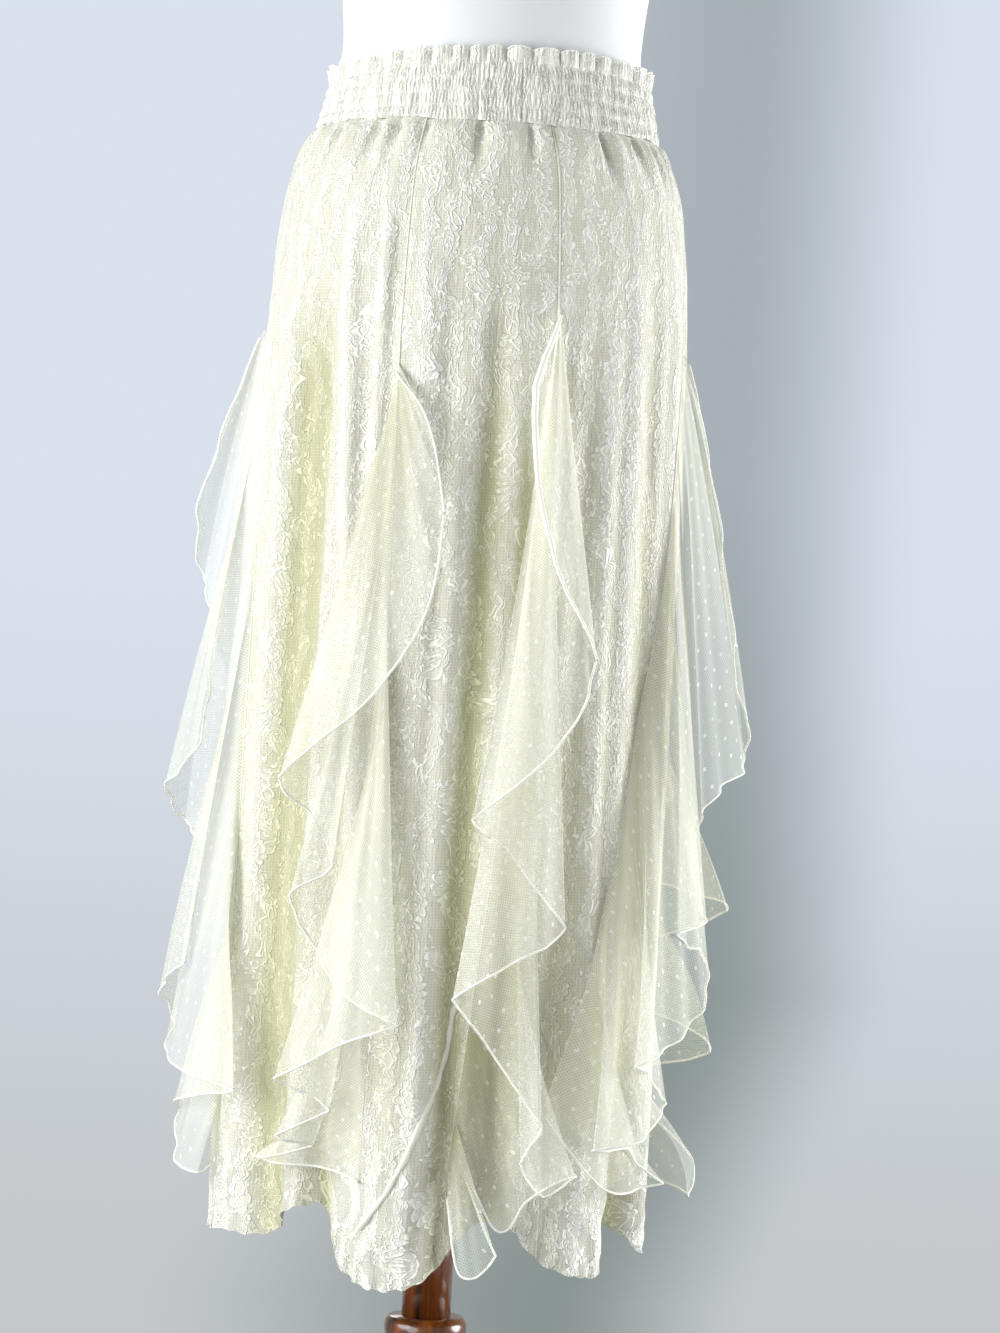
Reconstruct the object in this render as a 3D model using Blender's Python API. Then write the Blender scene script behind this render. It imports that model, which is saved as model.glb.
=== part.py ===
"""Ruffled lace skirt on a limbless dress form with a turned wooden stand.

Metres, +Z up, the front faces -Y. An angle round the skirt is measured from the
front, positive toward +X. The cloth is a set of walls: a shirred waistband, six
lace gores seamed edge to edge and six tulle cascades let into the seams.
"""

import math

import bpy
import numpy as np

# ---------------------------------------------------------------- sizes
BAND_TOP = 1.056        # top of the frilled header
BAND_FOOT = 1.000       # lower edge of the waistband
HEADER = 0.012          # frill that stands above the top row of elastic
BAND_WAVES = 34         # gathers round the band
BAND_TILT = 0.005       # the header stands this much higher on the right, lower on the left
BAND_BOW = 0.007        # and this much lower at both sides than in front and behind
BAND_RIPPLE = 0.0010    # half depth of a gather in the casing
HEADER_RIPPLE = 0.0024  # half depth of a gather in the header
BAND_WALL = 0.0022
LACE_WALL = 0.0014
TULLE_WALL = 0.0010
SEAM = 0.0003           # gap left between pieces that are sewn together
ROOT = 0.0013           # how far a cascade's sewn edge lies outside the lace
SPREAD = 0.160          # mean radius, turns a small distance into an angle
LOWEST_HEM = 0.140
CLING = 0.020           # cloth this far off the lace follows its recesses a third as much

POLE_RADIUS = 0.0190
COLLAR_TOP = 0.0930
BASE_TOP = 0.0280
BASE_RADIUS = 0.1650
FORM_FOOT = 0.7750

GORE_ROWS = 12
CASCADE_STEPS = 3       # grid steps between two rows of a cascade's table
CASCADE_ACROSS = 2      # grid steps from the seam to the free hem
BAND_COLUMNS = 4 * BAND_WAVES
FORM_COLUMNS = 44
LATHE_COLUMNS = 40

# The hanging lace without its flutes: height, half width, half depth.
BODY = (
    (1.000, 0.1330, 0.1050),
    (0.988, 0.1400, 0.1094),
    (0.960, 0.1508, 0.1168),
    (0.920, 0.1572, 0.1228),
    (0.870, 0.1612, 0.1280),
    (0.780, 0.1630, 0.1350),
    (0.620, 0.1640, 0.1440),
    (0.400, 0.1640, 0.1510),
    (0.140, 0.1640, 0.1560),
)

# Soft flutes of the lace: middle angle, half spread (degrees), depth at the hem,
# height where the flute starts.
FLUTES = (
    (-72.0, 19.0, 0.014, 0.78),
    (-37.0, 14.0, 0.012, 0.84),
    (-9.0, 15.0, 0.030, 0.52),
    (40.0, 16.0, 0.018, 0.60),
    (68.0, 11.0, 0.012, 0.66),
    (112.0, 18.0, 0.016, 0.74),
    (138.0, 12.0, 0.010, 0.55),
    (168.0, 14.0, 0.018, 0.62),
    (197.0, 12.0, 0.014, 0.80),
    (226.0, 15.0, 0.018, 0.66),
    (252.0, 13.0, 0.011, 0.58),
)

# Recesses between the lobes of the hem: the same four numbers, inward.
RECESSES = (
    (-31.0, 7.0, 0.013, 0.34),
    (15.5, 10.0, 0.022, 0.44),
    (58.0, 6.0, 0.012, 0.36),
    (88.0, 9.0, 0.012, 0.34),
    (124.0, 8.0, 0.014, 0.36),
    (152.0, 8.0, 0.016, 0.40),
    (183.0, 8.0, 0.018, 0.42),
    (211.0, 8.0, 0.014, 0.36),
    (240.0, 8.0, 0.015, 0.38),
)

# Lobed hem of the lace: angle, height.
HEM = (
    (-90.0, 0.168), (-72.0, 0.161), (-57.0, 0.162), (-45.0, 0.172),
    (-36.0, 0.190), (-30.0, 0.193), (-24.0, 0.154), (-17.0, 0.140),
    (-6.0, 0.140), (2.0, 0.152), (8.0, 0.174), (16.0, 0.186),
    (23.0, 0.180), (30.0, 0.158), (40.0, 0.150), (51.0, 0.152),
    (58.0, 0.180), (68.0, 0.158), (77.0, 0.172), (88.0, 0.188),
    (110.0, 0.158), (125.0, 0.184), (139.0, 0.164), (152.0, 0.190),
    (168.0, 0.156), (183.0, 0.182), (197.0, 0.160), (211.0, 0.188),
    (226.0, 0.156), (240.0, 0.182), (254.0, 0.162), (270.0, 0.168),
)

# Seams: height and angle down each seam, top first.
SEAMS = {
    "left_front": ((0.840, -20.0), (0.220, -17.0)),
    "right_front": ((0.863, 22.0), (0.550, 15.0), (0.220, 4.0)),
    "right_side": ((0.840, 80.0), (0.770, 70.0), (0.660, 66.0), (0.540, 56.0),
                   (0.410, 43.0), (0.270, 29.0)),
    "right_back": ((0.835, 150.0), (0.220, 141.0)),
    "left_back": ((0.828, 210.0), (0.220, 205.0)),
    "left_side": ((0.840, -90.0), (0.680, -71.0), (0.220, -68.0)),
}

# Gores: name, first seam, last seam, columns across.
GORES = (
    ("gore_front", "left_front", "right_front", 7),
    ("gore_right_front", "right_front", "right_side", 8),
    ("gore_right_back", "right_side", "right_back", 17),
    ("gore_back", "right_back", "left_back", 10),
    ("gore_left_back", "left_back", "left_side", 12),
    ("gore_left_front", "left_side", "left_front", 9),
)

# A cascade is a flounce sewn in a seam. One row for each turn of its free hem:
# height on the seam, height of the hem, angle of the hem, outward from the lace.
CASCADES = {
    "left_front": (
        (0.815, 0.808, -20.0, 0.004),
        (0.814, 0.772, -10.0, 0.020),
        (0.812, 0.705, -4.5, 0.036),
        (0.809, 0.636, -6.5, 0.046),
        (0.806, 0.570, -16.5, 0.052),
        (0.800, 0.506, -37.0, 0.046),
        (0.770, 0.478, -31.5, 0.026),
        (0.735, 0.444, -25.5, 0.028),
        (0.715, 0.420, -33.5, 0.040),
        (0.690, 0.385, -30.0, 0.024),
        (0.660, 0.352, -22.0, 0.026),
        (0.630, 0.334, -8.0, 0.040),
        (0.590, 0.318, -18.5, 0.050),
        (0.550, 0.288, -33.5, 0.042),
        (0.500, 0.276, -28.0, 0.028),
        (0.450, 0.266, -23.5, 0.028),
        (0.410, 0.246, -34.0, 0.036),
        (0.350, 0.238, -29.0, 0.016),
        (0.300, 0.228, -38.0, 0.024),
        (0.265, 0.224, -48.0, 0.018),
        (0.240, 0.222, -28.0, 0.010),
        (0.225, 0.215, -17.0, 0.004),
    ),
    "right_front": (
        (0.863, 0.856, 22.0, 0.004),
        (0.862, 0.800, 14.5, 0.024),
        (0.861, 0.740, 15.0, 0.036),
        (0.859, 0.670, 19.5, 0.046),
        (0.857, 0.604, 29.5, 0.046),
        (0.852, 0.545, 22.0, 0.054),
        (0.846, 0.484, 4.5, 0.052),
        (0.820, 0.460, 13.5, 0.032),
        (0.790, 0.408, 26.0, 0.040),
        (0.765, 0.384, 14.5, 0.056),
        (0.740, 0.354, 2.5, 0.050),
        (0.700, 0.315, 12.0, 0.030),
        (0.650, 0.264, 23.5, 0.034),
        (0.560, 0.236, 19.5, 0.030),
        (0.500, 0.212, 25.0, 0.032),
        (0.430, 0.226, 33.0, 0.024),
        (0.340, 0.205, 24.0, 0.010),
        (0.300, 0.182, 18.0, 0.010),
        (0.268, 0.226, 7.0, 0.004),
        (0.262, 0.168, 15.5, 0.028),
        (0.250, 0.154, 7.5, 0.032),
        (0.236, 0.200, 4.5, 0.012),
        (0.222, 0.206, 4.5, 0.004),
    ),
    "right_side": (
        (0.840, 0.833, 80.0, 0.004),
        (0.838, 0.775, 88.0, 0.016),
        (0.835, 0.700, 84.0, 0.032),
        (0.832, 0.610, 86.0, 0.046),
        (0.828, 0.538, 92.0, 0.060),
        (0.820, 0.514, 78.0, 0.046),
        (0.800, 0.492, 69.0, 0.034),
        (0.770, 0.462, 76.0, 0.024),
        (0.740, 0.425, 84.0, 0.030),
        (0.715, 0.404, 57.0, 0.044),
        (0.690, 0.392, 66.0, 0.032),
        (0.670, 0.386, 78.0, 0.036),
        (0.645, 0.352, 66.0, 0.046),
        (0.615, 0.326, 56.0, 0.050),
        (0.585, 0.309, 42.0, 0.046),
        (0.545, 0.297, 54.0, 0.030),
        (0.510, 0.276, 61.0, 0.032),
        (0.460, 0.257, 48.0, 0.042),
        (0.420, 0.247, 34.0, 0.036),
        (0.375, 0.243, 50.0, 0.020),
        (0.340, 0.215, 64.0, 0.022),
        (0.305, 0.215, 42.0, 0.014),
        (0.275, 0.266, 29.0, 0.004),
    ),
    "right_back": (
        (0.835, 0.828, 150.0, 0.004),
        (0.833, 0.760, 158.0, 0.022),
        (0.830, 0.690, 163.0, 0.036),
        (0.827, 0.610, 158.0, 0.048),
        (0.823, 0.550, 143.0, 0.054),
        (0.815, 0.500, 124.0, 0.050),
        (0.780, 0.476, 134.0, 0.028),
        (0.745, 0.440, 140.0, 0.032),
        (0.715, 0.425, 122.0, 0.052),
        (0.690, 0.412, 107.0, 0.060),
        (0.640, 0.380, 128.0, 0.030),
        (0.600, 0.350, 152.0, 0.036),
        (0.560, 0.325, 128.0, 0.048),
        (0.520, 0.303, 101.0, 0.044),
        (0.460, 0.285, 122.0, 0.026),
        (0.420, 0.272, 138.0, 0.030),
        (0.370, 0.232, 118.0, 0.038),
        (0.320, 0.190, 102.0, 0.034),
        (0.270, 0.205, 128.0, 0.016),
        (0.232, 0.222, 141.0, 0.004),
    ),
    "left_back": (
        (0.828, 0.821, 210.0, 0.004),
        (0.826, 0.750, 201.0, 0.024),
        (0.823, 0.680, 196.0, 0.038),
        (0.819, 0.600, 201.0, 0.048),
        (0.814, 0.540, 215.0, 0.054),
        (0.805, 0.492, 230.0, 0.050),
        (0.770, 0.468, 220.0, 0.030),
        (0.730, 0.430, 208.0, 0.030),
        (0.700, 0.405, 222.0, 0.048),
        (0.670, 0.385, 232.0, 0.044),
        (0.610, 0.352, 212.0, 0.028),
        (0.560, 0.325, 196.0, 0.036),
        (0.510, 0.305, 212.0, 0.046),
        (0.460, 0.282, 226.0, 0.040),
        (0.390, 0.262, 208.0, 0.026),
        (0.340, 0.248, 198.0, 0.028),
        (0.290, 0.228, 214.0, 0.024),
        (0.240, 0.230, 205.0, 0.004),
    ),
    "left_side": (
        (0.845, 0.838, -90.0, 0.004),
        (0.843, 0.770, -88.0, 0.026),
        (0.840, 0.700, -92.0, 0.044),
        (0.836, 0.655, -101.0, 0.044),
        (0.820, 0.625, -92.0, 0.030),
        (0.795, 0.565, -76.0, 0.027),
        (0.775, 0.520, -72.0, 0.036),
        (0.750, 0.490, -86.0, 0.054),
        (0.730, 0.464, -101.0, 0.048),
        (0.705, 0.444, -95.0, 0.030),
        (0.670, 0.400, -80.0, 0.028),
        (0.640, 0.360, -72.0, 0.034),
        (0.600, 0.335, -86.0, 0.050),
        (0.560, 0.312, -96.0, 0.044),
        (0.510, 0.290, -78.0, 0.040),
        (0.460, 0.272, -50.0, 0.034),
        (0.410, 0.262, -66.0, 0.026),
        (0.360, 0.240, -90.0, 0.034),
        (0.310, 0.212, -80.0, 0.028),
        (0.260, 0.204, -66.0, 0.018),
        (0.218, 0.209, -68.0, 0.004),
    ),
}

# Waistband: height, half width, half depth and gather of its middle, from foot to header.
BAND_PROFILE = (
    (BAND_FOOT, 0.1305, 0.1025, BAND_RIPPLE),
    (BAND_TOP - HEADER, 0.1222, 0.0960, BAND_RIPPLE),
    (BAND_TOP, 0.1205, 0.0945, HEADER_RIPPLE),
)

# The form: height, half width, half depth, middle moved toward the back.
FORM = (
    (0.775, 0.1440, 0.1080, 0.000),
    (0.785, 0.1500, 0.1130, 0.000),
    (0.820, 0.1555, 0.1190, 0.000),
    (0.870, 0.1570, 0.1215, 0.000),
    (0.920, 0.1510, 0.1160, 0.000),
    (0.960, 0.1400, 0.1070, 0.000),
    (0.988, 0.1255, 0.0972, 0.000),
    (1.000, 0.1212, 0.0946, 0.000),
    (1.020, 0.1185, 0.0922, 0.000),
    (1.045, 0.1162, 0.0902, 0.000),
    (1.075, 0.1148, 0.0890, 0.000),
    (1.130, 0.1210, 0.0940, 0.002),
    (1.200, 0.1345, 0.1050, 0.000),
    (1.270, 0.1450, 0.1140, -0.004),
    (1.340, 0.1510, 0.1120, -0.002),
    (1.400, 0.1560, 0.1010, 0.004),
    (1.440, 0.1520, 0.0860, 0.010),
    (1.465, 0.1310, 0.0740, 0.013),
    (1.482, 0.0980, 0.0660, 0.013),
    (1.500, 0.0670, 0.0590, 0.011),
    (1.525, 0.0540, 0.0540, 0.008),
    (1.560, 0.0520, 0.0520, 0.006),
    (1.568, 0.0480, 0.0480, 0.006),
)

# Turned profiles: height, radius.
POLE_PROFILE = ((COLLAR_TOP + SEAM, POLE_RADIUS), (FORM_FOOT - SEAM, POLE_RADIUS))
COLLAR_PROFILE = (
    (BASE_TOP + SEAM, 0.0400), (0.0340, 0.0425), (0.0420, 0.0430),
    (0.0470, 0.0400), (0.0500, 0.0330), (0.0580, 0.0275), (0.0680, 0.0262),
    (0.0740, 0.0280), (0.0770, 0.0305), (0.0830, 0.0318), (0.0890, 0.0312),
    (COLLAR_TOP, 0.0285),
)
BASE_PROFILE = (
    (0.0000, BASE_RADIUS - 0.004), (0.0030, BASE_RADIUS),
    (0.0160, BASE_RADIUS), (0.0215, BASE_RADIUS - 0.003),
    (0.0255, BASE_RADIUS - 0.010), (BASE_TOP, BASE_RADIUS - 0.018),
)

# Materials: colour (linear), roughness.
MATERIALS = {
    "ivory_lace": ((0.80, 0.77, 0.66), 0.80),
    "ivory_tulle": ((0.84, 0.82, 0.72), 0.75),
    "shirred_lace_band": ((0.82, 0.79, 0.69), 0.80),
    "white_form_cover": ((0.83, 0.85, 0.87), 0.60),
    "varnished_wood": ((0.20, 0.075, 0.025), 0.30),
}


# ---------------------------------------------------------------- helpers
def smooth(rows, column, at):
    """Cubic curve through one column of a table, by the table's first column."""
    rows = np.asarray(rows, float)
    rows = rows[np.argsort(rows[:, 0])]
    x, y = rows[:, 0], rows[:, column]
    slope = np.gradient(y, x)
    at = np.clip(np.asarray(at, float), x[0], x[-1])
    i = np.clip(np.searchsorted(x, at) - 1, 0, len(x) - 2)
    h = x[i + 1] - x[i]
    t = (at - x[i]) / h
    return (
        (2 * t**3 - 3 * t**2 + 1) * y[i] + (t**3 - 2 * t**2 + t) * h * slope[i]
        + (3 * t**2 - 2 * t**3) * y[i + 1] + (t**3 - t**2) * h * slope[i + 1]
    )


def ridges(rows, angle, z):
    """Squared-cosine ridges round the lace that grow downward, from a table of them."""
    total = np.zeros(np.broadcast(angle, z).shape)
    for middle, half, depth, start in rows:
        away = (angle - middle + 180.0) % 360.0 - 180.0
        ridge = np.where(abs(away) < half, np.cos(math.pi / 2 * away / half) ** 2, 0.0)
        growth = np.clip((start - z) / (start - LOWEST_HEM), 0.0, 1.2) ** 1.3
        total = total + depth * ridge * growth
    return total


def on_lace(angle, z, out):
    """Points outside the lace: the ellipse of that height, its flutes and recesses,
    then out. Cloth that hangs further out follows the recesses less."""
    angle, z, out = np.broadcast_arrays(angle, z, out)
    wide, deep = smooth(BODY, 1, z), smooth(BODY, 2, z)
    s, c = np.sin(np.radians(angle)), np.cos(np.radians(angle))
    nx, ny = s / wide, -c / deep
    size = np.hypot(nx, ny)
    cling = np.exp(-np.maximum(out, 0.0) / CLING)
    push = ridges(FLUTES, angle, z) - cling * ridges(RECESSES, angle, z) + out
    return np.stack([wide * s + nx / size * push, -deep * c + ny / size * push, z], -1)


def hem_height(angle):
    """Height of the lobed lace hem at an angle."""
    return smooth(HEM, 1, (np.asarray(angle) + 90.0) % 360.0 - 90.0)


def solid(name, points, faces, material, rounded=True):
    """One closed object from points and faces, with its own material."""
    mesh = bpy.data.meshes.new(name)
    mesh.from_pydata([tuple(map(float, p)) for p in points], [], faces)
    mesh.validate()
    mesh.polygons.foreach_set("use_smooth", [rounded] * len(mesh.polygons))
    colour, rough = MATERIALS[material]
    look = bpy.data.materials.new(name + "_" + material)
    look.use_nodes = True
    shader = look.node_tree.nodes["Principled BSDF"]
    shader.inputs["Base Color"].default_value = (*colour, 1.0)
    shader.inputs["Roughness"].default_value = rough
    shader.inputs["Metallic"].default_value = 0.0
    mesh.materials.append(look)
    body = bpy.data.objects.new(name, mesh)
    bpy.context.scene.collection.objects.link(body)
    return body


def grid_normals(grid):
    """Unit normals of a grid of points, from the differences along both ways."""
    normal = np.cross(np.gradient(grid, axis=0), np.gradient(grid, axis=1))
    return normal / np.maximum(np.linalg.norm(normal, axis=2, keepdims=True), 1e-12)


def wall(name, outer, inner, material, ring=False):
    """A closed wall between two grids; ring joins the last column to the first."""
    n, m = outer.shape[:2]
    points = np.concatenate([outer.reshape(-1, 3), inner.reshape(-1, 3)])
    far = n * m
    faces = []
    for i in range(n if ring else n - 1):
        k = (i + 1) % n
        for j in range(m - 1):
            a, b, c, d = i * m + j, k * m + j, k * m + j + 1, i * m + j + 1
            faces += [(a, b, c), (a, c, d)]
            faces += [(far + c, far + b, far + a), (far + d, far + c, far + a)]
        for j, turn in ((0, 1), (m - 1, -1)):
            a, b = i * m + j, k * m + j
            quad = (b, a, far + a, far + b)[::turn]
            faces += [quad[:3], (quad[0], quad[2], quad[3])]
    if not ring:
        for i, turn in ((0, 1), (n - 1, -1)):
            for j in range(m - 1):
                a, b = i * m + j, i * m + j + 1
                quad = (a, b, far + b, far + a)[::turn]
                faces += [quad[:3], (quad[0], quad[2], quad[3])]
    return solid(name, points, faces, material)


def stacked(name, rings, material, rounded=True):
    """A closed body from rings of points, lowest first, with flat ends."""
    rings = np.asarray(rings, float)
    m, n = rings.shape[:2]
    faces = []
    for j in range(m - 1):
        for i in range(n):
            k = (i + 1) % n
            a, b, c, d = j * n + i, j * n + k, (j + 1) * n + k, (j + 1) * n + i
            faces += [(a, b, c), (a, c, d)]
    faces.append(tuple(reversed(range(n))))
    faces.append(tuple((m - 1) * n + i for i in range(n)))
    return solid(name, rings.reshape(-1, 3), faces, material, rounded)


def turned(name, profile, material):
    """A lathe body from a short profile of heights and radii."""
    turn = 2 * math.pi * np.arange(LATHE_COLUMNS) / LATHE_COLUMNS
    return stacked(
        name,
        [[(r * math.cos(t), r * math.sin(t), z) for t in turn] for z, r in profile],
        material,
    )


# ---------------------------------------------------------------- cloth
def seam_angle(seam, z):
    """Angle of a seam at a height; straight between its rows."""
    path = np.array(SEAMS[seam])[::-1]
    return np.interp(z, path[:, 0], path[:, 1])


def gore(name, first, last, columns):
    """A lace gore: columns between its seams, rows from the hem up to the band."""
    lap = 360.0 if seam_angle(first, BAND_FOOT) > seam_angle(last, BAND_FOOT) else 0.0
    trim = math.degrees(SEAM / 2 / SPREAD)
    across = np.linspace(0.0, 1.0, columns + 1)[:, None]

    def between(z):
        start = seam_angle(first, z) + trim
        return start + (seam_angle(last, z) + lap - trim - start) * across

    foot = hem_height(between(LOWEST_HEM))
    up = np.linspace(1.0, 0.0, GORE_ROWS + 1)[None, :] ** 1.25
    top = BAND_FOOT - SEAM
    z = top + (foot - top) * up
    angle = between(z)
    return wall(
        name, on_lace(angle, z, 0.0), on_lace(angle, z, -LACE_WALL), "ivory_lace"
    )


def cascade_grid(seam, rows):
    """Middle surface of a cascade: threads from the seam to the free hem."""
    table = np.column_stack([np.arange(len(rows), dtype=float), rows])
    steps = CASCADE_STEPS * (len(rows) - 1) + 1
    u = np.linspace(0, len(rows) - 1, steps)[:, None]
    top, low, turn, out = (smooth(table, k, u) for k in (1, 2, 3, 4))
    v = np.linspace(0.0, 1.0, CASCADE_ACROSS + 1)[None, :]
    root = seam_angle(seam, top)
    angle = root + (turn - root) * v**0.95
    return on_lace(angle, top + (low - top) * v, ROOT + out * v**0.85)


def cascade(seam, rows):
    """A tulle cascade as a thin wall about its middle surface."""
    middle = cascade_grid(seam, rows)
    half = grid_normals(middle) * TULLE_WALL / 2
    return wall("cascade_" + seam, middle + half, middle - half, "ivory_tulle")


def waistband():
    """The shirred casing and its header: a cone with shallow waves, deeper on top, that
    bows down at both sides."""
    turn = np.arange(BAND_COLUMNS)[:, None]
    angle = np.radians(360.0 * turn / BAND_COLUMNS)
    height, wide, deep, depth = (np.array(column)[None, :] for column in zip(*BAND_PROFILE))
    above = np.where(height > BAND_FOOT, 1.0, 0.0)
    wave = np.sin(2 * math.pi * BAND_WAVES * turn / BAND_COLUMNS)
    s, c = np.sin(angle), np.cos(angle)
    z = height + above * (BAND_TILT * s - BAND_BOW * s**2)
    nx, ny = s / wide, -c / deep
    size = np.hypot(nx, ny)

    def ring(out):
        return np.stack(
            [wide * s + nx / size * out, -deep * c + ny / size * out, z + 0 * out], -1
        )

    return wall(
        "waistband", ring(wave * depth + BAND_WALL / 2),
        ring(wave * depth - BAND_WALL / 2), "shirred_lace_band", ring=True,
    )


def form():
    """The limbless form: smooth ellipses from the hip to the neck."""
    turn = 2 * math.pi * np.arange(FORM_COLUMNS) / FORM_COLUMNS
    return stacked(
        "form_torso",
        [
            [(w * math.cos(t), back + d * math.sin(t), z) for t in turn]
            for z, w, d, back in FORM
        ],
        "white_form_cover",
    )


# ---------------------------------------------------------------- build
for old in list(bpy.data.objects):
    bpy.data.objects.remove(old, do_unlink=True)

waistband()
for row in GORES:
    gore(*row)
for seam, rows in CASCADES.items():
    cascade(seam, rows)
form()
turned("pole", POLE_PROFILE, "varnished_wood")
turned("foot_collar", COLLAR_PROFILE, "varnished_wood")
turned("base_disc", BASE_PROFILE, "varnished_wood")
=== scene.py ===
"""Ruffled lace skirt on a limbless dress form: the visible model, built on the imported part.

Metres, +Z up, the front faces -Y. An angle round the skirt is in degrees from the front,
positive toward +X. Every cloth piece is a thin surface on the form of its solid, finer and
softer than the solid: lace gores with flutes and creases, a waistband gathered by rows of
elastic, and six tulle cascades hung as straight threads from a seam to a free hem.
"""

import math
from functools import partial

import bpy
import numpy as np
from mathutils import Matrix, Vector


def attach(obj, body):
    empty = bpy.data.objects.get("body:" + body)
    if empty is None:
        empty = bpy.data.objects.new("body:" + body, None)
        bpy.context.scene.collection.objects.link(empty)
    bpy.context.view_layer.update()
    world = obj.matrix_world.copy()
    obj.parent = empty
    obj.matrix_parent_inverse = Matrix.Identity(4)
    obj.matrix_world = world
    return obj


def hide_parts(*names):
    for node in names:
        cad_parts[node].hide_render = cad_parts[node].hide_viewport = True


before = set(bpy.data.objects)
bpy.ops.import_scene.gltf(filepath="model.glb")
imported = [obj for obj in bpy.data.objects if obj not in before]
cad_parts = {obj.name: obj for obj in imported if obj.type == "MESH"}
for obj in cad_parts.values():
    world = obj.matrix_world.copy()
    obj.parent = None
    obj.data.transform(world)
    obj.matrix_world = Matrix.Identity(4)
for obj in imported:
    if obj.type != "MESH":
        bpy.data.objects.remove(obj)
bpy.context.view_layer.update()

# ---------------------------------------------------------------- sizes
BAND_TOP = 1.056        # top of the frilled header
BAND_FOOT = 1.000       # lower edge of the waistband
HEADER = 0.012          # frill that stands above the top row of elastic
BAND_TILT = 0.005       # the header stands this much higher on the right, lower on the left
BAND_BOW = 0.007        # and this much lower at both sides than in front and behind
ELASTIC_ROWS = 4        # rows of elastic between the foot and the header
PUCKERS = 252           # puckers round each row of the band, about 3 mm apart
FRILLS = 41             # flat puffs round the header, about 17 mm apart
BAND_CREASES = (-3.0, 11.5, 62.0, 104.0, 196.0, 241.0)   # upright creases through all rows
CASING_SEAMS = (-26.0, 152.0)   # the casing is joined here; its rows are crisp on the left
SPREAD = 0.160          # mean radius, turns an angle into a distance round the skirt
ROOT = 0.0005           # a cascade's sewn edge lies this far outside the lace
LOWEST_HEM = 0.140
HEM_WAVE = 0.0125       # the lace hem is scalloped and ruffled in waves this long
CLING = 0.020           # cloth this far off the lace follows its creases a third as much
POLE_RADIUS = 0.0190
COLLAR_TOP = 0.0930
BASE_TOP = 0.0280
BASE_RADIUS = 0.1650
FORM_FOOT = 0.7750
SEAM = 0.0003           # gap between the turned pieces of the stand
ROLLED = 0.0009         # radius of the tulle's rolled hem

# Waistband: heights, and its half widths and half depths there.
BAND_PROFILE = ((BAND_FOOT, BAND_TOP - HEADER, BAND_TOP),
                (0.1305, 0.1222, 0.1205), (0.1025, 0.0960, 0.0945))

# Twisted ridge down the middle lobe: angle, height.
TWISTED_RIDGE = ((5.0, 0.350), (3.5, 0.340), (2.5, 0.314), (0.0, 0.288), (-2.5, 0.266),
                 (-6.0, 0.234), (-10.0, 0.208), (-14.0, 0.190), (-18.5, 0.172))

# Painted shade where a cascade is sunk between the lobes of the lace beside it: height, share
# from 0 to 1.
SUNK_SHADE = {
    "right_front": ((0.17, 0.4), (0.24, 0.8), (0.34, 1.0), (0.46, 0.9), (0.53, 0.4), (0.58, 0.0)),
    "left_front": ((0.60, 0.0), (0.66, 0.5), (0.78, 0.5), (0.84, 0.0)),
}

# Where a rolled hem is turned over on itself: row of its cascade's table, radius there.
DOUBLED_HEM = {
    "right_front": ((0.0, 0.0012), (0.6, 0.0024), (1.7, 0.0024), (3.0, 0.0014), (4.0, ROLLED)),
}

# Lamps: name, place, size across and watts.
LAMPS = (
    ("lamp_left", (-2.6, -1.25, 1.15), 2.2, 74.0),
    ("lamp_right", (2.9, 0.4, 0.7), 1.9, 108.0),
    ("lamp_front", (-1.8, -2.4, 0.45), 1.8, 38.0),
    ("lamp_back", (-0.6, 2.6, 1.8), 1.8, 26.0),
)
AMBIENT = 0.455
FLOOR_RADIUS = 0.46

# Backdrop wall: its colours high up and low down, where it is painted darker as shade, and that
# of the skirt's shadow painted on it.
WALL_HIGH = "D9E1ED"
WALL_LOW = "C4C8CB"
WALL_SHADOW = "84908E"

# The hanging lace without its flutes: height, half width, half depth.
BODY = (
    (1.000, 0.1330, 0.1050),
    (0.988, 0.1400, 0.1094),
    (0.960, 0.1508, 0.1168),
    (0.920, 0.1572, 0.1228),
    (0.870, 0.1612, 0.1280),
    (0.780, 0.1630, 0.1350),
    (0.620, 0.1640, 0.1440),
    (0.400, 0.1640, 0.1510),
    (0.140, 0.1640, 0.1560),
)

# Flutes of the lace: middle angle, half spread, depth at the hem, height where it starts.
FLUTES = (
    (-72.0, 19.0, 0.014, 0.78),
    (-37.0, 14.0, 0.012, 0.84),
    (-9.0, 15.0, 0.030, 0.52),
    (40.0, 16.0, 0.018, 0.60),
    (68.0, 11.0, 0.012, 0.66),
    (112.0, 18.0, 0.016, 0.74),
    (138.0, 12.0, 0.010, 0.55),
    (168.0, 14.0, 0.018, 0.62),
    (197.0, 12.0, 0.014, 0.80),
    (226.0, 15.0, 0.018, 0.66),
    (252.0, 13.0, 0.011, 0.58),
)

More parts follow.
